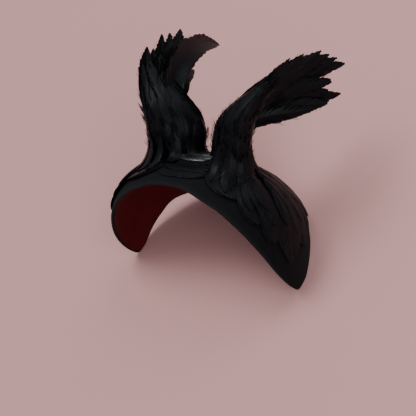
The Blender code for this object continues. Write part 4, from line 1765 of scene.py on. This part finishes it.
@dataclass
class EarPlume:
    """A tall bunch of feathers: a bound stem, hackles round it and long feathers that sweep back."""

    CORE_MARKS = np.array((0.1, 0.2, 0.3, 0.3))

    hand: Hand
    rows: Table
    dome: Dome
    pose: RestPose
    seed: int
    neck: Neck = Neck()
    gap: float = 0.55 * MM
    foot_fore: float = 1.6
    foot_side: float = 17.8
    foot_radius: float = 12 * MM
    stem_height: float = 74 * MM
    height: float = 92 * MM
    sweep: float = 105 * MM
    splay: float = 68 * MM
    half_width: float = 9 * MM
    breadth: float = 1.75
    heading: float = math.radians(49)
    root_rise: float = 0.9
    root_spread: float = 0.3
    tip_pull: float = 0.36
    twist: float = 0.35
    roll: float = -0.35
    roll_play: float = 0.10
    stations: int = 33
    filaments: int = 6
    between_shares: tuple[float, ...] = (0.33, 0.67)
    between_most: float = 0.245
    between_width: float = 0.85
    between_scale: tuple[float, float] = (0.84, 0.96)
    between_roll_play: float = 0.25

    def foot(self) -> Array:
        """Middle of the foot on the felt."""
        return self.dome.point(self.foot_fore, self.hand.value * self.foot_side, self.gap)

    def bunch(self, turn: Array, breadth: Array | float) -> Array:
        """Offsets round the stem's section, an ellipse with a radius of one on its narrow way.

        Args:
            turn: angles round it from its broad way.
            breadth: its radius on its broad way.

        Returns:
            Offsets in the worn frame.
        """
        side = self.hand.value
        broad = np.array((math.cos(self.heading), side * math.sin(self.heading), 0))
        narrow = np.array((-math.sin(self.heading), side * math.cos(self.heading), 0))
        return (breadth * np.cos(turn))[..., None] * broad + np.sin(turn)[..., None] * narrow

    def stem_at(self, share: Array, turn: Array, proud: Array) -> Array:
        """Points off the stem's surface.

        The section follows the stem's table up a line that leans back and outwards.

        Args:
            share: height up the stem, from 0 at the felt to 1.
            turn: angle round it from its broad way.
            proud: distance off its surface.

        Returns:
            Points in the worn frame.
        """
        radius = STEM.read("height", "radius", share) * self.foot_radius
        breadth = 1 + (self.breadth - 1) * STEM.read("height", "breadth", share)
        lean = np.stack(
            (
                STEM.read("height", "forward", share) * self.sweep,
                self.hand.value * STEM.read("height", "outward", share) * self.splay,
                share * self.stem_height,
            ),
            axis=-1,
        )
        return self.foot() + lean + self.bunch(turn, breadth) * (radius + proud)[..., None]

    def core(self, plumage: Plumage) -> None:
        """Adds the bound stem: rings up its height with shallow flutes, as bound quills show, and a point.

        The flutes are a sine round the stem that turns a little with the height, and the point draws in with
        the sixth power of the height.

        Args:
            plumage: what it is added to.
        """
        neck = self.neck
        turn = np.linspace(0, 2 * math.pi, neck.sides, endpoint=False) * self.hand.value
        share = np.linspace(0, 1, neck.rings)[:, None] * np.ones(neck.sides)
        radius = STEM.read("height", "radius", share) * self.foot_radius
        flute = neck.flute * np.sin(neck.flutes * turn + neck.flute_turn * share)
        proud = neck.sink + flute - radius * neck.point * share**6
        ring = self.stem_at(share, turn * np.ones((neck.rings, 1)), proud)
        ends = np.stack((ring[0].mean(axis=0), ring[-1].mean(axis=0)))
        points = np.concatenate((ring.reshape(-1, 3), ends))
        plan = np.stack((turn * self.foot_radius + 0 * share, share * self.stem_height), axis=-1)
        plan = np.concatenate((plan.reshape(-1, 2), plan[0, :1], plan[-1, -1:]))
        plumage.add(points, tube_faces(neck.rings, neck.sides), self.CORE_MARKS, plan)

    def long_feather(self, plumage: Plumage, row: dict[str, float], scale: float, roll: float) -> None:
        """Adds a feather that rises with the stem and sweeps back and out to its tip, on a cubic curve.

        Args:
            plumage: what it is added to.
            row: its row of the plume's table.
            scale: its reach as a share of the row's.
            roll: turn of the vane about the quill, in radians.
        """
        side = self.hand.value
        tip = np.array((-row["back"] * self.sweep, side * row["out"] * self.splay, self.dome.rise))
        tip[2] += row["up"] * self.height
        root = self.foot() + np.array((self.root_spread * row["seat"], 0, self.root_rise)) * self.foot_radius
        tip = root + (tip - root) * scale
        slope = math.radians(row["slope"])
        heading = unit((tip - root) * (1, 1, 0)) * math.cos(slope)
        heading[2] = math.sin(slope)
        reach = float(np.linalg.norm(tip - root))
        lift = unit(np.array((row["lean"], side * row["flare"], 1.0))) * reach * row["lift"]
        centre = cubic([root, root + lift, tip - heading * reach * self.tip_pull, tip], self.stations)
        t = np.linspace(0, 1, self.stations)[:, None]
        root_normal = unit(np.array((self.twist * row["seat"], side, 0.0)))
        tip_normal = unit(np.array((0.0, side, -self.twist)))
        spine = Spine.turned(centre, (1 - t) * root_normal + t * tip_normal).rolled(roll)
        tone = plumage.random.random()
        half_width = row["width"] * self.half_width
        plumage.feather(spine, half_width, LONG_VANE, tone)
        plumage.filaments(spine, half_width, LONG_VANE, self.filaments, tone)

    def hackles(self, plumage: Plumage) -> None:
        """Adds short feathers round the stem, in staggered rounds from its foot upwards.

        Args:
            plumage: what they are added to.
        """
        neck = self.neck
        random = plumage.random
        play = neck.hackle_height_play
        t = np.linspace(0, 1, self.stations)
        swell = neck.hackle_base + neck.hackle_swell * np.sin(t * math.pi * neck.hackle_swell_end)
        for number, row in enumerate(HACKLES.each()):
            count = row["count"]
            for place in range(count):
                turn = 2 * math.pi * (place + neck.hackle_stagger * number) / count
                turn = turn + random.normal(0, neck.hackle_turn_play)
                share = row["low"] + (row["high"] + random.uniform(-play, play) - row["low"]) * t
                proud = swell + neck.hackle_layer * number
                drift = turn + random.normal(0, neck.hackle_drift) * t
                centre = self.stem_at(share, drift, proud)
                spine = Spine.turned(centre, self.bunch(drift, 1 / self.breadth))
                width = random.uniform(*neck.hackle_width_mm) * MM
                plumage.feather(spine, width, HACKLE_VANE, random.random())

    def skirt(self, plumage: Plumage) -> None:
        """Adds feathers that run down the neck and out over the felt, so that neck and wing flow together.

        Args:
            plumage: what they are added to.
        """
        neck = self.neck
        random = plumage.random
        start_proud, low_proud, near_proud, far_proud = neck.skirt_heights
        spot = np.array((self.foot_fore, self.hand.value * self.foot_side))
        t = np.linspace(0, 1, self.stations)[:, None]
        for row in SKIRT.each():
            count = row["count"]
            for place in range(count):
                turn = 2 * math.pi * (place + neck.skirt_stagger * row["rise"]) / count
                turn = np.array(turn + random.normal(0, neck.skirt_turn_play))
                high = np.array(row["rise"] + random.uniform(*neck.skirt_height_play))
                start = self.stem_at(high, turn, np.array(start_proud))
                low = self.stem_at(high * neck.skirt_low, turn, np.array(low_proud))
                out = unit(self.bunch(turn, self.breadth))
                length = row["reach"] * random.uniform(*neck.skirt_reach_play)
                length = length + neck.skirt_broad * abs(math.cos(float(turn)))
                near = self.dome.point(*(spot + neck.skirt_near * length * out[:2]), near_proud)
                far = self.dome.point(*(spot + length * out[:2]), far_proud)
                centre = cubic([start, low, near, far], self.stations)
                up = unit(self.dome.point(*(spot + length * out[:2]), neck.skirt_up) - far)
                spine = Spine.turned(centre, (1 - t) * out + t * up)
                width = random.uniform(*neck.skirt_width_mm) * MM
                plumage.feather(spine, width, SKIRT_VANE, neck.skirt_tone * random.random())

    def wisps(self, plumage: Plumage) -> None:
        """Adds tufts of loose hair-like barbs that lift off the neck at a slant, the way that the stem grows.

        Args:
            plumage: what they are added to.
        """
        neck = self.neck
        random = plumage.random
        tufts = neck.tufts
        tuft = np.arange(tufts * neck.tuft_wisps) // neck.tuft_wisps
        count = len(tuft)
        turn = random.uniform(0, 2 * math.pi, tufts)[tuft] + random.normal(0, neck.tuft_turn_play, count)
        share = random.uniform(*neck.tuft_span, tufts)[tuft] + random.normal(0, neck.tuft_height_play, count)
        proud = np.full(count, neck.tuft_proud)
        root = self.stem_at(share, turn, proud)
        along = unit(self.stem_at(share + neck.tuft_step, turn, proud) - root)
        out = unit(self.bunch(turn, 1.0))
        heading = unit(along + out * random.uniform(*neck.tuft_slant, tufts)[tuft][:, None])
        curl = random.normal(0, neck.tuft_curl, (tufts, 3))[tuft]
        curl = curl + random.normal(0, neck.wisp_curl, (count, 3)) + out * neck.wisp_out
        length = random.uniform(*neck.tuft_length_mm, tufts)[tuft]
        length = (length + random.uniform(*neck.wisp_play_mm, count)) * MM
        plumage.strays(root, heading, curl, length, neck.wisp_tone)

    def build(self, finish: Finish) -> None:
        """Makes the plume.

        Args:
            finish: what it is dressed in.
        """
        plumage = Plumage(self.seed)
        random = plumage.random
        self.core(plumage)
        for row in self.rows.each():
            self.long_feather(plumage, row, 1.0, self.roll + random.normal(0, self.roll_play))
        for share in self.between_shares:
            for row in self.rows.between(share, self.between_most):
                roll = self.roll + random.normal(0, self.between_roll_play)
                narrow = row | {"width": self.between_width * row["width"]}
                self.long_feather(plumage, narrow, random.uniform(*self.between_scale), roll)
        self.hackles(plumage)
        self.skirt(plumage)
        self.wisps(plumage)
        piece = plumage.finish(f"plume_{self.hand.label}", self.pose)
        hand_over(piece, finish, f"ear_plume_{self.hand.label}")


@dataclass(frozen=True)
class Lamp:
    """A soft square light: its place in the row frame in metres, its side and its power in watts."""

    name: str
    spot: tuple[float, float, float]
    size: float
    power: float


@dataclass(frozen=True)
class Studio:
    """Floor, lights and camera. The camera keeps the photograph's angle to the hat."""

    azimuth: float = math.radians(38.6)
    elevation: float = math.radians(14.2)
    distance: float = 1.100
    aim_height: float = 42.9 * MM
    focal_pixels: float = 1371.0
    sensor: float = 36.0
    floor_half: float = 6.0
    floor_colour: tuple[float, ...] = (0.66, 0.345, 0.325, 1)
    floor_rough: float = 0.9
    sky_colour: tuple[float, ...] = (0.80, 0.80, 0.84, 1)
    sky_strength: float = 0.42
    lamp_colour: tuple[float, ...] = (0.93, 0.97, 1.0)
    lamp_aim: tuple[float, ...] = (0.0, 0.0, 0.06)
    lamps: tuple[Lamp, ...] = (
        Lamp("key_light", (-0.18, -0.45, 1.50), 0.9, 15.0),
        Lamp("fill_light", (0.55, 1.25, 0.80), 1.2, 11.0),
        Lamp("back_light", (-1.10, 0.30, 1.10), 0.9, 5.0),
    )

    def axes(self) -> tuple[Array, Array, Array]:
        """Directions of the camera, worked out from its azimuth and elevation.

        Returns:
            Its right, up and back directions in the worn frame.
        """
        level = math.cos(self.elevation)
        back = np.array(
            (level * math.cos(self.azimuth), level * math.sin(self.azimuth), math.sin(self.elevation))
        )
        right = np.array((-math.sin(self.azimuth), math.cos(self.azimuth), 0.0))
        return right, np.cross(back, right), back

    def place(self, name: str, data: bpy.types.ID, columns: tuple[Array, ...]) -> bpy.types.Object:
        """Puts a camera or a light into the scene.

        Args:
            name: its name.
            data: the camera or light.
            columns: its right, up and back directions and its place, as its matrix's columns.

        Returns:
            The object.
        """
        thing = bpy.data.objects.new(name, data)
        bpy.context.collection.objects.link(thing)
        matrix = np.eye(4)
        matrix[:3] = np.stack(columns, axis=1)
        thing.matrix_world = Matrix(matrix.tolist())
        return thing

    def camera(self, pose: RestPose) -> None:
        """Makes the camera and sets it as the scene's.

        Args:
            pose: how the hat rests, since the camera keeps its angle to the hat as worn.
        """
        right, up, back = self.axes()
        spot = np.array((0, 0, self.aim_height)) + back * self.distance
        data = bpy.data.cameras.new("camera")
        data.sensor_fit = "HORIZONTAL"
        data.sensor_width = self.sensor
        data.lens = self.focal_pixels / IMAGE_SIZE * self.sensor
        columns = (pose.aim(right), pose.aim(up), pose.aim(back), pose.place(spot))
        bpy.context.scene.camera = self.place("camera", data, columns)

    def light(self, lamp: Lamp) -> None:
        """Makes a light that faces the hat.

        Args:
            lamp: its sizes.
        """
        away = unit(np.array(lamp.spot) - self.lamp_aim)
        across = unit(np.cross((0.0, 0.0, 1.0), away))
        data = bpy.data.lights.new(lamp.name, "AREA")
        data.size = lamp.size
        data.energy = lamp.power
        data.color = self.lamp_colour
        self.place(lamp.name, data, (across, np.cross(away, across), away, np.array(lamp.spot)))

    def floor(self) -> None:
        """Makes the plain pale floor."""
        half = self.floor_half
        points = np.array(((-half, -half, 0), (half, -half, 0), (half, half, 0), (-half, half, 0)))
        piece = make_object("floor", points, np.array(((0, 1, 2, 3),)), smooth=False)
        plain = {"Base Color": self.floor_colour, "Roughness": self.floor_rough}
        Finish("floor_paint", plain).dress(piece)

    def sky(self) -> None:
        """Fills the room with even pale light."""
        world = bpy.data.worlds.new("room")
        world.use_nodes = True
        background = world.node_tree.nodes["Background"]
        background.inputs["Color"].default_value = self.sky_colour
        background.inputs["Strength"].default_value = self.sky_strength
        bpy.context.scene.world = world

    def build(self, pose: RestPose) -> None:
        """Makes everything round the hat.

        Args:
            pose: how the hat rests.
        """
        self.camera(pose)
        self.floor()
        self.sky()
        for lamp in self.lamps:
            self.light(lamp)


def main() -> None:
    """Loads the frame, dresses every node and sets the studio."""
    logging.basicConfig(level=logging.INFO, format="%(name)s: %(message)s")
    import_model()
    dome = Dome()
    pose = RestPose(dome)
    effects = Effects()
    felt = FeltFinish().build(effects)
    lining = LiningFinish().build(effects)
    soft_feather = FeatherFinish("feather_satin").build(effects)
    glossy_feather = FeatherFinish("feather_gloss", rough=(0.12, 0.26), specular=0.9).build(effects)

    Wall("felt_shell", "felt_base", Slot.FELT, dome, pose, top=0.0, thickness=2.2 * MM).build(felt)
    sizes = {"top": -2.6 * MM, "thickness": 0.9 * MM, "setback": 1.6, "pucker": 0.1 * MM}
    Wall("red_lining", "lining", Slot.LINING, dome, pose, **sizes).build(lining)
    lying = LyingFeathers(dome, pose)
    lying.crown(soft_feather)
    lying.crest(glossy_feather)
    plumes = (
        EarPlume(Hand.LEFT, LEFT_PLUME, dome, pose, seed=11, roll=-0.35, foot_radius=12.4 * MM),
        EarPlume(Hand.RIGHT, RIGHT_PLUME, dome, pose, seed=23, roll=-0.50, foot_radius=11.3 * MM),
    )
    for plume in plumes:
        lying.wing(plume.hand, soft_feather)
        plume.build(soft_feather)
    Studio().build(pose)


if __name__ == "__main__":
    main()
